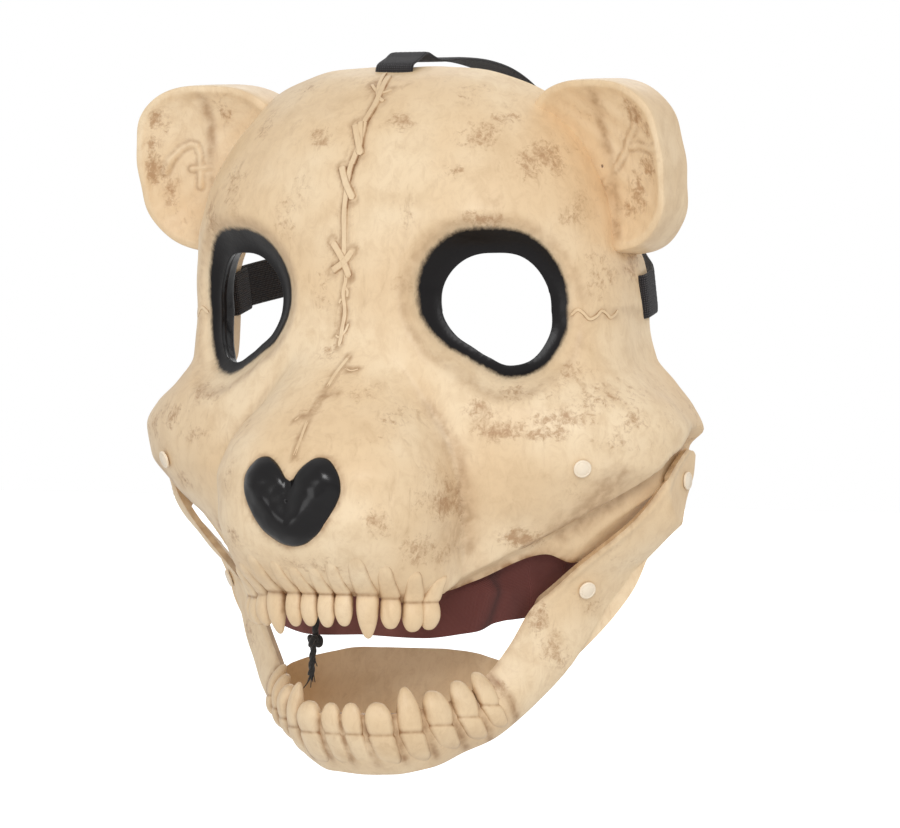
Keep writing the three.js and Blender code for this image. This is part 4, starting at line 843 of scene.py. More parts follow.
def tooth_form(middles, across, outward, half_wide, half_deep, sides=22):
    """Closed form along a line of middles: a rounded box section, given by its half width
    across and half depth outward at each middle. Returns points and faces."""
    turn = np.linspace(0, 2 * np.pi, sides, endpoint=False)
    c, s = np.cos(turn), np.sin(turn)
    squarer = (np.abs(c) ** 2.5 + np.abs(s) ** 2.5) ** (-1 / 2.5)
    rings = (middles[:, None] + (half_wide[:, None] * c * squarer)[..., None] * across
             + (half_deep[:, None] * s * squarer)[..., None] * outward)
    n = len(middles)
    points = np.concatenate([rings.reshape(-1, 3), middles[:1], middles[-1:]])
    faces = grid_faces(n, sides, round_way=True)
    k = np.arange(sides)
    after = (k + 1) % sides
    caps = [np.stack([np.full(sides, n * sides), after, k], -1),
            np.stack([np.full(sides, n * sides + 1), (n - 1) * sides + k, (n - 1) * sides + after], -1)]
    along = middles[-1] - middles[0]
    if np.dot(np.cross(across, outward), along) < 0:
        faces, caps = faces[:, ::-1], [cap[:, ::-1] for cap in caps]
    return points, [*faces.tolist(), *caps[0].tolist(), *caps[1].tolist()]


def crown_sections(count, point):
    """Shares of length, half width and half depth of a crown from neck to tip, set closer
    at the tip: full down to a rounded end, or narrowing sooner on a pointed tooth."""
    s = np.sin(np.linspace(0, np.pi / 2, count))
    belly = 0.9 + 0.1 * np.sin(np.pi * np.clip(s * 1.2, 0, 1))
    closed = np.clip(1 - s**4.5, 0, 1) ** 0.45
    pointed = np.clip(1 - s**1.3, 0, 1) ** 0.7
    return s, np.maximum(belly * (pointed + (closed - pointed) * point), 0.02)


def tooth(root, tip, across, outward, width, point, narrow):
    """Root and crown in one closed form: a line of middles runs up the root to the gum and
    on to the tip, narrow says how wide the root's far end is, and the section draws in a
    little at the gum. Returns points and faces, and the brown wash per point."""
    count, sides = len(root), 22
    s, shares = crown_sections(count, point)
    neck = root[-1]
    crown = neck + (tip - neck) * s[1:, None] + outward * (0.8 * np.sin(np.pi * s[1:]))[:, None]
    middles = np.concatenate([root, crown])
    u = np.linspace(0, 1, count)
    foot = np.sqrt(np.clip(1 - np.clip(1 - u / 0.35, 0, 1) ** 2, 0.002, 1))
    step = np.concatenate([u - 1, s[1:]])
    pinch = 1 - 0.10 * np.exp(-(step / 0.05) ** 2)
    half_wide = 0.5 * width * pinch * np.concatenate([foot * (narrow + (0.98 - narrow) * u), shares[1:]])
    deep = (2.4 + (0.4 * width - 2.4) * s[1:]) * shares[1:] / shares[1:].max() * (1 - 0.2 * s[1:])
    half_deep = pinch * np.concatenate([foot * (1.5 + 0.9 * u), deep])
    points, faces = tooth_form(middles, across, outward, half_wide, half_deep, sides)
    ring = np.repeat(step, sides)
    aside = np.abs((points[:-2] - np.repeat(middles, sides, axis=0)) @ across) / np.repeat(half_wide, sides)
    brown = 0.55 * np.exp(-(ring / 0.045) ** 2) + 0.6 * smooth((aside - 0.8) / 0.2) * smooth((0.75 - ring) / 0.4)
    return (points, faces), np.append(brown + 0.25 * smooth((-0.8 - ring) / 0.2), [0.5, 0.0])


teeth = []
uneven = np.random.default_rng(11)
for side in (1, -1):
    for across_share, width, length_share, root_height, lean in UPPER_TEETH:
        x = side * across_share * SNOUT_HALF * (1 + uneven.uniform(-0.01, 0.01))
        lip = float(lip_height(x))
        here, _ = skin(np.array([x - 0.4, x + 0.4]), np.array([lip, lip]) + 1)
        run = np.array([0.8, here[1] - here[0], 0])
        run /= np.linalg.norm(run)
        out = np.array([run[1], -run[0], 0])
        up = np.linspace(1, 0, 30)
        root_x, root_z = x + side * lean * up, lip + 0.4 + root_height * up
        depth, root_out = skin(root_x, root_z)
        root = np.stack([root_x, depth, root_z], -1) - root_out * (0.25 + 0.65 * up[:, None])
        length = length_share * INCISOR_LENGTH * (1 + uneven.uniform(-0.04, 0.04))
        canine = length_share > 1.2
        tip = root[-1] - (0, 0, length) - out * (1.4 if canine else 0.3)
        teeth.append(tooth(root, tip, run, out, width, 0.5 if canine else 1.0, 0.68))
upper_teeth = put_mesh("upper_teeth", *joined([form for form, _ in teeth]), bone,
                       wash=np.concatenate([brown for _, brown in teeth]))
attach(upper_teeth, "skull")

# Jaw: a second moulding that hangs outside the skull's flaps on a rivet at each side. A
# plate runs forward from each hinge and down to the chin, and a scoop holds the chin.

JAW_WALL, JAW_GAP, JAW_BULGE, JAW_RUNS = 2.2, 1.0, 4.5, 13
JAW = table("run upSide upReach upDrop lowSide lowReach lowDrop floorSide floorReach floorDrop bulge", [
    (0, 0, 0.99, 0.795, 0, 0.77, 1.018, 0, 0.157, 0.62, 0.6),
    (1, 0.12, 0.96, 0.795, 0.12, 0.743, 1.016, 0.10, 0.161, 0.6215, 0.7),
    (2, 0.21, 0.876, 0.785, 0.21, 0.657, 0.996, 0.20, 0.17, 0.627, 0.85),
    (3, 0.28, 0.757, 0.765, 0.29, 0.557, 0.948, 0.29, 0.185, 0.64, 1),
    (4, 0.34, 0.63, 0.735, 0.38, 0.486, 0.906, 0.375, 0.21, 0.655, 1),
    (5, 0.395, 0.53, 0.66, 0.46, 0.414, 0.833, 0.45, 0.24, 0.68, 0.9),
    (6, 0.455, 0.479, 0.5625, 0.55, 0.314, 0.729, 0.505, 0.28, 0.70, 0.7),
    (7, 0.517, 0.443, 0.443, 0.635, 0.22, 0.585, 0.61, 0.205, 0.61, 0.55),
    (8, 0.587, 0.414, 0.365, 0.705, 0.13, 0.44, 0.72, 0.11, 0.475, 0.45),
    (9, 0.655, 0.395, 0.302, 0.775, 0.08, 0.315, 0.79, 0.055, 0.35, 0.35),
    (10, 0.80, 0.305, 0.15, 0.84, 0.085, 0.175, 0.85, 0.06, 0.20, 0.2),
    (11, 0.88, 0.225, 0.0, 0.885, 0.035, 0.06, 0.89, 0.0, 0.08, 0.1),
    (12, 0.93, 0.115, -0.062, 0.92, -0.05, -0.04, 0.92, -0.095, -0.02, 0),
    (13, 0.94, 0.0, -0.108, 0.935, -0.07, -0.103, 0.935, -0.115, -0.085, 0),
])


def jaw_place(side, reach, drop):
    """A place by its share of the half width, and its reach and drop from the hinge."""
    return np.stack([side * CHEEK_HALF, HINGE_DEPTH - reach * JAW_REACH, -HINGE_DROP - drop * JAW_DROP], -1)


def jaw_point(run, down):
    """Outer skin of the jaw: down goes 0 to 1 from the tooth line to the bottom line with
    a bulge between, and 1 to 2 under the chin to the scoop's edge along a bent line."""
    run = np.asarray(run, float)
    upper = jaw_place(JAW["upSide"](run), JAW["upReach"](run), JAW["upDrop"](run))
    lower = jaw_place(JAW["lowSide"](run), JAW["lowReach"](run), JAW["lowDrop"](run))
    scoop = jaw_place(JAW["floorSide"](run), JAW["floorReach"](run), JAW["floorDrop"](run))
    turn = np.clip(run / 5, 0, 1) * np.pi / 2.6
    out = np.stack([np.sin(turn), -np.cos(turn), np.full_like(turn, -0.25)], -1)
    out /= np.linalg.norm(out, axis=-1, keepdims=True)
    v = np.clip(down, 0, 1)[..., None]
    w = np.clip(down - 1, 0, 1)[..., None]
    plate = upper + (lower - upper) * v + out * 4 * v * (1 - v) * JAW_BULGE * JAW["bulge"](run)[..., None]
    under = lower + (scoop - lower) * (0.5, 0.6, -0.05)
    first = lower + (under - lower) * w
    bowl = first + (under + (scoop - under) * w - first) * w
    point = np.where(v < 1, plate, bowl)
    radius = np.hypot(point[..., 1] - HINGE_DEPTH, point[..., 2] + HINGE_DROP) / JAW_REACH
    clear = jaw_limit(point[..., 1], point[..., 2], JAW_GAP + JAW_WALL)
    near = smooth((0.95 - radius) / 0.25)
    point[..., 0] += np.maximum(0, clear - point[..., 0]) * near
    return point


def jaw_skin(run, down, side=1):
    """Points and outward normals of the jaw's outer skin, mirrored for the other side."""
    run, down = np.broadcast_arrays(np.asarray(run, float), np.asarray(down, float))
    along = jaw_point(run + 0.03, down) - jaw_point(run - 0.03, down)
    below = jaw_point(run, down + 0.01) - jaw_point(run, down - 0.01)
    normal = np.cross(below, along)
    normal /= np.linalg.norm(normal, axis=-1, keepdims=True)
    return jaw_point(run, down) * (side, 1, 1), normal * (side, 1, 1)


JAW_ROWS, JAW_HALF = 84, 150
run = np.linspace(0, JAW_RUNS, JAW_HALF)
down_lines = jaw_point(run[:, None], np.linspace(0, 2, 300)[None])
jaw_half = np.array([even_row(line, JAW_ROWS) for line in down_lines]).transpose(1, 0, 2)[::-1]
jaw_grid = mirrored(jaw_half)
jaw_run = np.abs(np.linspace(-JAW_RUNS, JAW_RUNS, 2 * JAW_HALF - 1))[None] + np.zeros((JAW_ROWS, 1))
jaw_normals = grid_normals(jaw_grid)
top_gap = np.linalg.norm(jaw_grid - jaw_grid[-1:], axis=-1)
x, y, z = np.moveaxis(jaw_grid, -1, 0)
waves = 0.3 * np.sin(0.16 * x + 0.12 * z) * np.sin(0.13 * y + 1) + 0.15 * np.sin(0.31 * z - 0.2 * x)
edge_roll = 0.5 * np.exp(-((top_gap - 2.2) / 1.6) ** 2) * smooth((jaw_run - 5) / 1.5)
jaw_grid = jaw_grid + jaw_normals * (waves * smooth(top_gap / 8) * smooth((13 - jaw_run) / 3) + edge_roll)[..., None]

LOWER_TEETH = [
    (0.30, 7.6, 3.8, 0.95), (1.05, 9.8, 4.0, 1.0), (1.93, 9.2, 8.8, 0.55), (2.82, 10.2, 5.4, 0.95), (3.68, 9.6, 5.6, 0.9),
    (4.42, 8.2, 5.2, 0.85),
]
GUM, ROOT_END = 0.30, 0.86
between_teeth = np.array([0.0] + [0.5 * (a[0] + b[0]) for a, b in zip(LOWER_TEETH[:-1], LOWER_TEETH[1:])] + [4.95])
gap_run = np.abs(jaw_run[..., None] - between_teeth).min(-1) * 8
jaw_wash = 0.6 * np.exp(-(gap_run / 1.0) ** 2) * smooth((5.3 - jaw_run) / 0.3) * smooth((24 - top_gap) / 6)
jaw_wash = np.maximum(jaw_wash, 0.6 * np.exp(-((top_gap - 1) / 2) ** 2) * smooth((5.3 - jaw_run) / 0.5))
jaw_wash = np.maximum(jaw_wash, 0.35 * np.exp(-(top_gap / 1.2) ** 2))
JAW_STAINS = [
    (54, -105, 4, 8, 1.0), (57, -114, 5, 7, 0.9), (43, -130, 7, 5, 0.8), (67, -99, 4, 7, 0.6), (78, -84, 5, 7, 0.4),
    (60, -118, 6, 5, 0.6), (30, -146, 6, 4, 0.4),
]
jaw_stain = np.zeros_like(x)
for stain_x, stain_z, wide, tall, strength in JAW_STAINS:
    blob = strength * np.exp(-((np.abs(x) - stain_x) / wide) ** 2 - ((z - stain_z) / tall) ** 2)
    jaw_stain = np.maximum(jaw_stain, blob * np.where(x < 0, 0.8, 1))
jaw = put_mesh("jaw_mask", jaw_grid, grid_faces(JAW_ROWS, 2 * JAW_HALF - 1), bone, wash=jaw_wash, stain=jaw_stain)
add_wall(jaw, JAW_WALL, bone_inside)
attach(jaw, "jaw")
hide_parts("jaw_shell")

# Lower teeth: rounded crowns that stand up from the jaw's front edge, each with a line
# at the gum and a long root below it, all moulded in one with the jaw.

teeth = []
for side in (1, -1):
    for place, width, rise, point in LOWER_TEETH:
        width = width * (1 + uneven.uniform(-0.03, 0.03))
        rise = rise * (1 + uneven.uniform(-0.08, 0.08))
        ends, _ = jaw_skin(np.array([place - 0.05, place + 0.05]), 0.1, side)
        run_way = (ends[1] - ends[0]) * side
        run_way[2] = 0
        run_way /= np.linalg.norm(run_way)
        outward = np.array([run_way[1], -run_way[0], 0])
        on_root, root_out = jaw_skin(place, np.linspace(ROOT_END, GUM, 30), side)
        tip = jaw_skin(place, 0.0, side)[0] + (0, 0, rise) - outward * (0.4 if point > 0.6 else 1.4)
        teeth.append(tooth(on_root - root_out * 0.7, tip, run_way, outward, width, point, 0.8))
lower_teeth = put_mesh("lower_teeth", *joined([form for form, _ in teeth]), bone,
                       wash=np.concatenate([brown for _, brown in teeth]))
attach(lower_teeth, "jaw")

# Rivets: smooth off-white plastic pins with a flat round head on each side. Two join the
# jaw to a round boss on each flap, two hold the cloth to the cheeks, two close the jaw.

RIVET_RADIUS, SHANK_RADIUS, HEAD, PLAY, BOSS_RADIUS = 3.0, 1.5, 0.9, 0.3, 7.5


def turned(profile, middle, axis, sides=48):
    """Closed round form about an axis: a profile of radius and height, both in
    millimetres, turned about the axis from its first point to its last."""
    profile = np.asarray(profile, float)
    axis = np.asarray(axis, float) / np.linalg.norm(axis)
    first = np.cross(axis, (0, 0.3, 1.0))
    first /= np.linalg.norm(first)
    second = np.cross(axis, first)
    turn = np.linspace(0, 2 * np.pi, sides, endpoint=False)
    spokes = np.cos(turn)[:, None] * first + np.sin(turn)[:, None] * second
    rings = profile[1:-1, :1, None] * spokes[None] + profile[1:-1, 1:, None] * axis
    ends = profile[[0, -1], 1:] * axis
    n = len(rings)
    k = np.arange(sides)
    after = (k + 1) % sides
    faces = [*grid_faces(n, sides, round_way=True).tolist(),
             *np.stack([np.full(sides, n * sides), after, k], -1).tolist(),
             *np.stack([np.full(sides, n * sides + 1), (n - 1) * sides + k, (n - 1) * sides + after], -1).tolist()]
    faces = [face[::-1] for face in faces] if profile[0, 1] > profile[-1, 1] else faces
    return np.concatenate([rings.reshape(-1, 3), ends]) + middle, faces


def rivet_profile(grip):
    """Radius and height of a rivet's outline from its outer head's middle to its inner
    head's middle, with rounded edges on both heads and the shank between."""
    low = -grip - PLAY
    return [(0, PLAY + HEAD), (2.1, PLAY + HEAD - 0.02), (2.25, PLAY + HEAD - 0.14), (2.4, PLAY + HEAD - 0.02),
            (2.75, PLAY + HEAD - 0.12), (2.95, PLAY + 0.6), (RIVET_RADIUS, PLAY + 0.4), (2.95, PLAY),
            (SHANK_RADIUS, PLAY), (SHANK_RADIUS, low), (2.9, low), (RIVET_RADIUS, low - 0.4), (2.8, low - 0.9),
            (2.3, low - HEAD), (0, low - HEAD)]


rivet_finish, tree, shader = new_finish("white_rivet_plastic", 0.34)
place = node(tree, "ShaderNodeTexCoord").outputs["Object"]
clouds = node(tree, "ShaderNodeTexNoise", {"Vector": place, "Scale": 300.0, "Detail": 4.0})
shades = node(tree, "ShaderNodeMix", {0: clouds.outputs["Fac"], 6: paint(238, 218, 190), 7: paint(250, 238, 218)},
              data_type="RGBA")
tree.links.new(shades.outputs[2], shader.inputs["Base Color"])
scratches = node(tree, "ShaderNodeBump", {"Height": clouds.outputs["Fac"], "Distance": 0.0003, "Strength": 0.3})
tree.links.new(scratches.outputs["Normal"], shader.inputs["Normal"])

CHEEK_RIVET_X, CHEEK_RIVET_Z, LINING_THICKNESS = 78, -0.56 * LIP_DROP, 1.2
JAW_RIVET_RUN, JAW_RIVET_DOWN, BOSS_DEPTH = 8.3, 0.42, 4
LINING_INSET = WALL + 4 * PLAY + LINING_THICKNESS
for side, name in ((1, "left"), (-1, "right")):
    face = np.array([side * HINGE_HALF, HINGE_DEPTH, -HINGE_DROP])
    hinge_grip = BOSS_DEPTH + JAW_GAP + JAW_WALL
    depth, cheek_out = skin(side * CHEEK_RIVET_X, CHEEK_RIVET_Z)
    jaw_place_here, jaw_out = jaw_skin(JAW_RIVET_RUN, JAW_RIVET_DOWN, side)
    jaw_out = jaw_out * np.sign(jaw_out[0]) * side
    rivets = [
        ("hinge_rivet", "jaw", face + (side * (JAW_GAP + JAW_WALL), 0, 0), (side, 0, 0), hinge_grip),
        ("cheek_rivet", "skull", (side * CHEEK_RIVET_X, depth, CHEEK_RIVET_Z), cheek_out, LINING_INSET + 6 * PLAY),
        ("jaw_rivet", "jaw", jaw_place_here + 0.3 * jaw_out, jaw_out, JAW_WALL + PLAY),
    ]
    for kind, body, middle, out, grip in rivets:
        rivet = put_mesh(f"{kind}_{name}_head", *turned(rivet_profile(grip), middle, out), rivet_finish)
        rivet.data.set_sharp_from_angle(angle=math.radians(60))
        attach(rivet, body)
        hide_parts(f"{kind}_{name}")
    boss_profile = [(0, 0), (BOSS_RADIUS - 0.6, 0), (BOSS_RADIUS, -0.6), (BOSS_RADIUS, -BOSS_DEPTH + 0.6),
                    (BOSS_RADIUS - 0.6, -BOSS_DEPTH), (0, -BOSS_DEPTH)]
    boss_points, boss_faces = turned(boss_profile, face, (side, 0, 0))
    boss = put_mesh(f"hinge_boss_{name}", boss_points, boss_faces, bone, wash=np.full(len(boss_points), 0.3))
    boss.data.set_sharp_from_angle(angle=math.radians(50))
    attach(boss, "skull")

# Mouth lining: a strip of dark red woven cloth, riveted inside both cheeks. It hangs
# behind the upper teeth and bunches into a few slanted folds towards the near cheek.
# Its colour carries painted light and shade: a mottled paler red on the cloth's upper
# side of the slanted fold, and painted shade along the fold's valley.

LINING = table("run topSide topDepth topDrop lowSide lowDepth lowDrop", [
    (0, 0, 0.094, 0.758, 0, 0.153, 1.158),
    (1, 0.22, 0.106, 0.737, 0.21, 0.188, 1.168),
    (2, 0.40, 0.153, 0.674, 0.37, 0.27, 1.14),
    (3, 0.51, 0.188, 0.60, 0.45, 0.365, 1.105),
    (4, 0.62, 0.22, 0.53, 0.49, 0.482, 1.105),
    (5, 0.70, 0.20, 0.49, 0.56, 0.53, 0.99),
    (6, 0.82, 0.26, 0.49, 0.65, 0.553, 0.916),
])
LINING_HOLD, LINING_ROWS, LINING_HALF = 3.8, 90, 150

cloth, tree, shader = new_finish("dark_red_cloth", 0.92)
weave_uv = node(tree, "ShaderNodeUVMap", uv_map="cloth").outputs["UV"]
warp = node(tree, "ShaderNodeTexWave", {"Vector": weave_uv, "Scale": 0.9, "Distortion": 0.6}, bands_direction="X")
weft = node(tree, "ShaderNodeTexWave", {"Vector": weave_uv, "Scale": 0.9, "Distortion": 0.6}, bands_direction="Y")
threads = node(tree, "ShaderNodeMath", {0: warp.outputs["Fac"], 1: weft.outputs["Fac"]}, operation="ADD")
mottle = node(tree, "ShaderNodeTexNoise", {"Vector": weave_uv, "Scale": 0.12, "Detail": 5.0, "Roughness": 0.6})
# Painted light: on the cloth's upper side of the slanted fold, the mottle lifts the red to a paler red. The lower band
# by the near cheek keeps the deeper red.
fade = node(tree, "ShaderNodeAttribute", attribute_name="fade").outputs["Fac"]
lit_share = node(tree, "ShaderNodeMath", {0: mottle.outputs["Fac"], 1: fade}, operation="MULTIPLY").outputs[0]
reds = node(tree, "ShaderNodeMix", {0: lit_share, 6: paint(90, 36, 30), 7: paint(146, 92, 84)}, data_type="RGBA")
# Painted shade: a narrow line along the fold's valley is turned a deep shaded red.
dark = node(tree, "ShaderNodeAttribute", attribute_name="dark").outputs["Fac"]
shaded = node(tree, "ShaderNodeMix", {0: dark, 6: reds.outputs[2], 7: paint(60, 26, 24)}, data_type="RGBA")
thread_tint = node(tree, "ShaderNodeMath", {0: threads.outputs[0], 1: 0.06}, operation="MULTIPLY").outputs[0]
cloth_tint = node(tree, "ShaderNodeMix", {0: thread_tint, 6: shaded.outputs[2], 7: paint(190, 150, 140)},
                  data_type="RGBA")
tree.links.new(cloth_tint.outputs[2], shader.inputs["Base Color"])
weave = node(tree, "ShaderNodeBump", {"Height": threads.outputs[0], "Distance": 0.0002, "Strength": 0.5})
tree.links.new(weave.outputs["Normal"], shader.inputs["Normal"])


def add_uv(piece, name, grid):
    """A UV layer in millimetres of cloth, from a grid of places along and across it."""
    layer = piece.data.uv_layers.new(name=name)
    corner = np.empty(len(piece.data.loops), np.int32)
    piece.data.loops.foreach_get("vertex_index", corner)
    layer.data.foreach_set("uv", grid.reshape(-1, 2)[corner].astype(np.float32).ravel())


down = np.linspace(0, 1, LINING_ROWS)[:, None]
run = np.linspace(0, 6, LINING_HALF)[None]
lining_x = CHEEK_HALF * (LINING["topSide"](run) + (LINING["lowSide"](run) - LINING["topSide"](run)) * down)
lining_z = -LIP_DROP * (LINING["topDrop"](run) + (LINING["lowDrop"](run) - LINING["topDrop"](run)) * down)
lining_y = SHELL_DEPTH * (LINING["topDepth"](run) + (LINING["lowDepth"](run) - LINING["topDepth"](run)) * down)
depth, cheek_normals = skin(lining_x, lining_z)
against = depth - LINING_INSET / cheek_normals[..., 1]
behind = np.where(lining_x > 0.6 * CHEEK_HALF, np.maximum(lining_y, against), lining_y)
held = smooth(run - LINING_HOLD) * smooth(2 * (1 - down))
lining_grid = mirrored(np.stack([lining_x, behind + (against - behind) * held, lining_z], -1))
lining_run = np.linspace(-6, 6, 2 * LINING_HALF - 1)[None] + 0 * down
free = smooth((5.2 - np.abs(lining_run)) / 1.2) * smooth(down * 3)
folds = 1.1 * np.exp(-((lining_run - 2.0 - 1.8 * (1 - down)) / 0.30) ** 2)
folds -= 0.9 * np.exp(-((lining_run - 2.5 - 1.8 * (1 - down)) / 0.22) ** 2)
folds += 0.6 * np.exp(-((lining_run + 2.4 + 0.9 * (1 - down)) / 0.35) ** 2)
folds += 0.5 * np.sin(2.3 * lining_run + 2.0 * down) * smooth(down * 2)
lining_grid = lining_grid - grid_normals(lining_grid) * (folds * free)[..., None]
wall_depth, wall_normals = skin(lining_grid[..., 0], lining_grid[..., 2])
near_cheek = smooth((np.abs(lining_grid[..., 0]) / CHEEK_HALF - 0.26) / 0.1)
clear_of_wall = wall_depth + np.minimum(-LINING_INSET / wall_normals[..., 1], 9) - 60 * (1 - near_cheek)
lining_grid[..., 1] = np.maximum(lining_grid[..., 1], clear_of_wall)
lining_x, lining_y, lining_z = np.moveaxis(lining_grid, -1, 0)
too_wide = np.abs(lining_x) - jaw_limit(lining_y, lining_z, -WALL - LINING_THICKNESS - 0.6)
pulled_in = np.maximum(too_wide, 0) * recess_weight(lining_y, lining_z) * smooth((lining_z + 96) / 8)
lining_grid[..., 0] -= np.sign(lining_x) * pulled_in
spread = np.concatenate([[0], np.cumsum(np.linalg.norm(np.diff(lining_grid[45], axis=0), axis=1))])
drop_line = np.concatenate([[0], np.cumsum(np.linalg.norm(np.diff(lining_grid[:, 149], axis=0), axis=1))])
lining_uv = np.stack(np.broadcast_arrays(spread[None], drop_line[:, None]), -1)
# Painted light and shade on the cloth: a paler upper band beside the slanted fold, and a dark line along the fold's
# valley.
lining = put_mesh("mouth_cloth", lining_grid, grid_faces(LINING_ROWS, 2 * LINING_HALF - 1)[:, ::-1], cloth,
                  fade=smooth((2.9 - 1.7 * down - lining_run) / 0.8),
                  dark=0.8 * np.exp(-((lining_run - 2.3 - 1.8 * (1 - down)) / 0.22) ** 2) * free)
add_uv(lining, "cloth", lining_uv)
add_wall(lining, LINING_THICKNESS)
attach(lining, "skull")
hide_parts("mouth_lining")

# Head strap: one flat black elastic band from ear to ear. It goes through a slot at each
# side, round the bar behind it and round the back of the head, where it sits higher.

STRAP_WIDTH, STRAP_THICKNESS, STRAP_REACH, STRAP_RISE, SLOT_INSET, EYE_LEVEL = 15, 1.2, 180, 28, 6, 0.035

elastic, tree, shader = new_finish("black_elastic", 0.88)
strap_uv = node(tree, "ShaderNodeUVMap", uv_map="band").outputs["UV"]
cords = node(tree, "ShaderNodeTexWave", {"Vector": strap_uv, "Scale": 0.42, "Distortion": 0.4}, bands_direction="Y")
picks = node(tree, "ShaderNodeTexWave", {"Vector": strap_uv, "Scale": 0.55, "Distortion": 1.2, "Detail": 1.0},
             bands_direction="X")
woven = node(tree, "ShaderNodeMath", {0: cords.outputs["Fac"], 1: picks.outputs["Fac"]}, operation="MULTIPLY")
blacks = node(tree, "ShaderNodeMix", {0: woven.outputs[0], 6: paint(20, 18, 20), 7: paint(58, 52, 56)},
              data_type="RGBA")
tree.links.new(blacks.outputs[2], shader.inputs["Base Color"])
ribs = node(tree, "ShaderNodeBump", {"Height": woven.outputs[0], "Distance": 0.0005, "Strength": 0.8})
tree.links.new(ribs.outputs["Normal"], shader.inputs["Normal"])
shader.inputs["Sheen Weight"].default_value = 0.15


def strap(name, line, across, width, thickness):
    """Closed flat band along a line: across it runs a rounded strip with small ribs, and
    one face fills the ring at each end to close it."""
    line = np.asarray(line, float)
    across = np.asarray(across, float)
    across = across / np.linalg.norm(across)
    ahead = np.gradient(line, axis=0)
    ahead /= np.linalg.norm(ahead, axis=1, keepdims=True)
    off = np.cross(ahead, across)
    over = np.linspace(-1, 1, 31)
    bulge = np.clip(1 - np.abs(over) ** 14, 0, 1) ** 0.5 * 0.5 * thickness
    bulge = np.maximum(bulge * (1 + 0.05 * np.cos(over * 8 * np.pi)), 0.12)
    round_over = np.concatenate([over, over[::-1]])
    round_off = np.concatenate([bulge, -bulge[::-1]])
    rings = line[:, None] + (0.5 * width * round_over)[None, :, None] * across + round_off[None, :, None] * off[:, None]
    count = len(round_over)
    length = np.concatenate([[0], np.cumsum(np.linalg.norm(np.diff(line, axis=0), axis=1))])
    n = len(line)
    ends = [list(range(count)), list(range(n * count - 1, (n - 1) * count - 1, -1))]
    faces = grid_faces(n, count, round_way=True)[:, ::-1]
    piece = put_mesh(name, rings, [*faces.tolist(), *ends], elastic)
    uv = np.stack(np.broadcast_arrays(length[:, None], 0.5 * width * round_over[None]), -1)
    add_uv(piece, "band", uv)
    piece.data.set_sharp_from_angle(angle=math.radians(70))
    return piece


def bend(middle, radius, start, stop, steps):
    """Places on an arc about a middle, between two angles."""
    angle = np.linspace(start, stop, steps + 1)
    return np.stack([middle[0] + radius * np.cos(angle), middle[1] + radius * np.sin(angle)], -1)


side_edge = float(SKULL["rear"](EYE_LEVEL)) * SHELL_DEPTH
side_half = CHEEK_HALF * float(SKULL["rearHalf"](EYE_LEVEL))
strap_off = 2 * PLAY + 0.5 * STRAP_THICKNESS
turn_radius = 0.5 * WALL + strap_off
bar = (side_half - 0.5 * WALL, side_edge - SLOT_INSET + turn_radius)
HEAD_LINE = [(1.0, 0.02), (0.95, 0.10), (0.86, 0.21), (0.76, 0.34), (0.65, 0.49), (0.52, 0.67), (0.37, 0.85),
             (0.22, 0.96), (0.1, 1.0), (0, 1.0), (-0.1, 1.0)]
head_line = np.array([(half * (side_half + strap_off), side_edge + (STRAP_REACH - side_edge) * back)
                      for half, back in HEAD_LINE])
around_back = curve_through(np.insert(head_line, 2, 0, axis=1), 301)[:271, :2]
half_strap = np.concatenate([[(bar[0] - turn_radius, side_edge + 0.27 * STRAP_WIDTH)],
                             bend(bar, turn_radius, -np.pi, 0, 20), around_back])
flat_line = np.concatenate([half_strap, half_strap[-2::-1] * (-1, 1)])
strap_tilt = math.atan2(STRAP_RISE, STRAP_REACH - side_edge)
tilt_c, tilt_s = math.cos(strap_tilt), math.sin(strap_tilt)


def tilted(x, y, z):
    """A place on the level band, turned up about the bars behind the slots."""
    back = y - bar[1]
    return np.stack([x, bar[1] + back * tilt_c - z * tilt_s, EYE_LEVEL * CROWN_HEIGHT + back * tilt_s + z * tilt_c], -1)


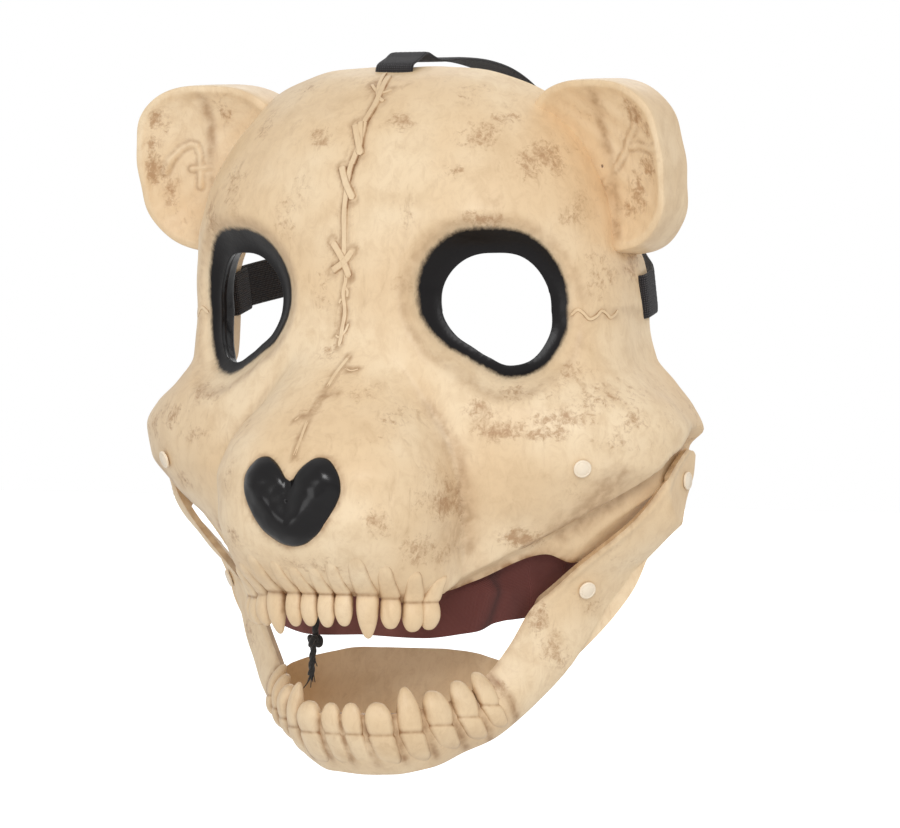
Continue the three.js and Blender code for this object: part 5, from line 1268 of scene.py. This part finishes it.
strap_line = tilted(flat_line[:, 0], flat_line[:, 1], 0 * flat_line[:, 0])
head_strap = strap("head_elastic", strap_line, (0, -tilt_s, tilt_c), STRAP_WIDTH, STRAP_THICKNESS)
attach(head_strap, "skull")
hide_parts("head_strap")

# Crown strap: the same elastic, round a bar at the middle of the brow's top edge, over the
# top of the head and down inside the head strap.

CROWN_STRAP_WIDTH, CROWN_BACK, CROWN_UP = 14, np.array([0.944, 0.33]), np.array([-0.33, 0.944])
crown_edge = np.array([float(SKULL["front"](1.0)) * SHELL_DEPTH, CROWN_HEIGHT])
crown_radius = turn_radius + 3 * PLAY


def crown_place(back, rise):
    """A place over the crown edge, by its distance back along the edge's slope and off it."""
    return crown_edge + CROWN_BACK * back + CROWN_UP * rise


crown_bar = crown_place(crown_radius - SLOT_INSET, -0.5 * WALL)
slope = math.atan2(CROWN_BACK[1], CROWN_BACK[0])
OVER_HEAD = [(0.33, 1.035), (0.43, 1.047), (0.54, 1.045), (0.65, 1.015), (0.75, 0.95), (0.84, 0.85), (0.91, 0.71)]
join = tilted(np.array([0.0]), np.array([STRAP_REACH - STRAP_THICKNESS - 2 * PLAY]), np.array([0.0]))[0, 1:]
guide = [crown_place(share * CROWN_STRAP_WIDTH, crown_radius - 0.5 * WALL) for share in (0.14, 0.57)]
guide += [np.array([reach * STRAP_REACH, rise * CROWN_HEIGHT]) for reach, rise in OVER_HEAD]
guide += [join + share * STRAP_WIDTH * np.array([-tilt_s, tilt_c]) for share in (0.7, -0.45)]
over_line = curve_through(np.insert(np.array(guide), 2, 0, axis=1), 281)[:, :2]
crown_flat = np.concatenate([[crown_place(0.29 * CROWN_STRAP_WIDTH, -0.5 * WALL - crown_radius)],
                             bend(crown_bar, crown_radius, slope - np.pi / 2, slope - 1.5 * np.pi, 20), over_line])
crown_line = np.insert(crown_flat, 0, 0.0, axis=1)
crown_strap = strap("crown_elastic", crown_line, (1, 0, 0), CROWN_STRAP_WIDTH, STRAP_THICKNESS)
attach(crown_strap, "skull")
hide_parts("crown_strap")
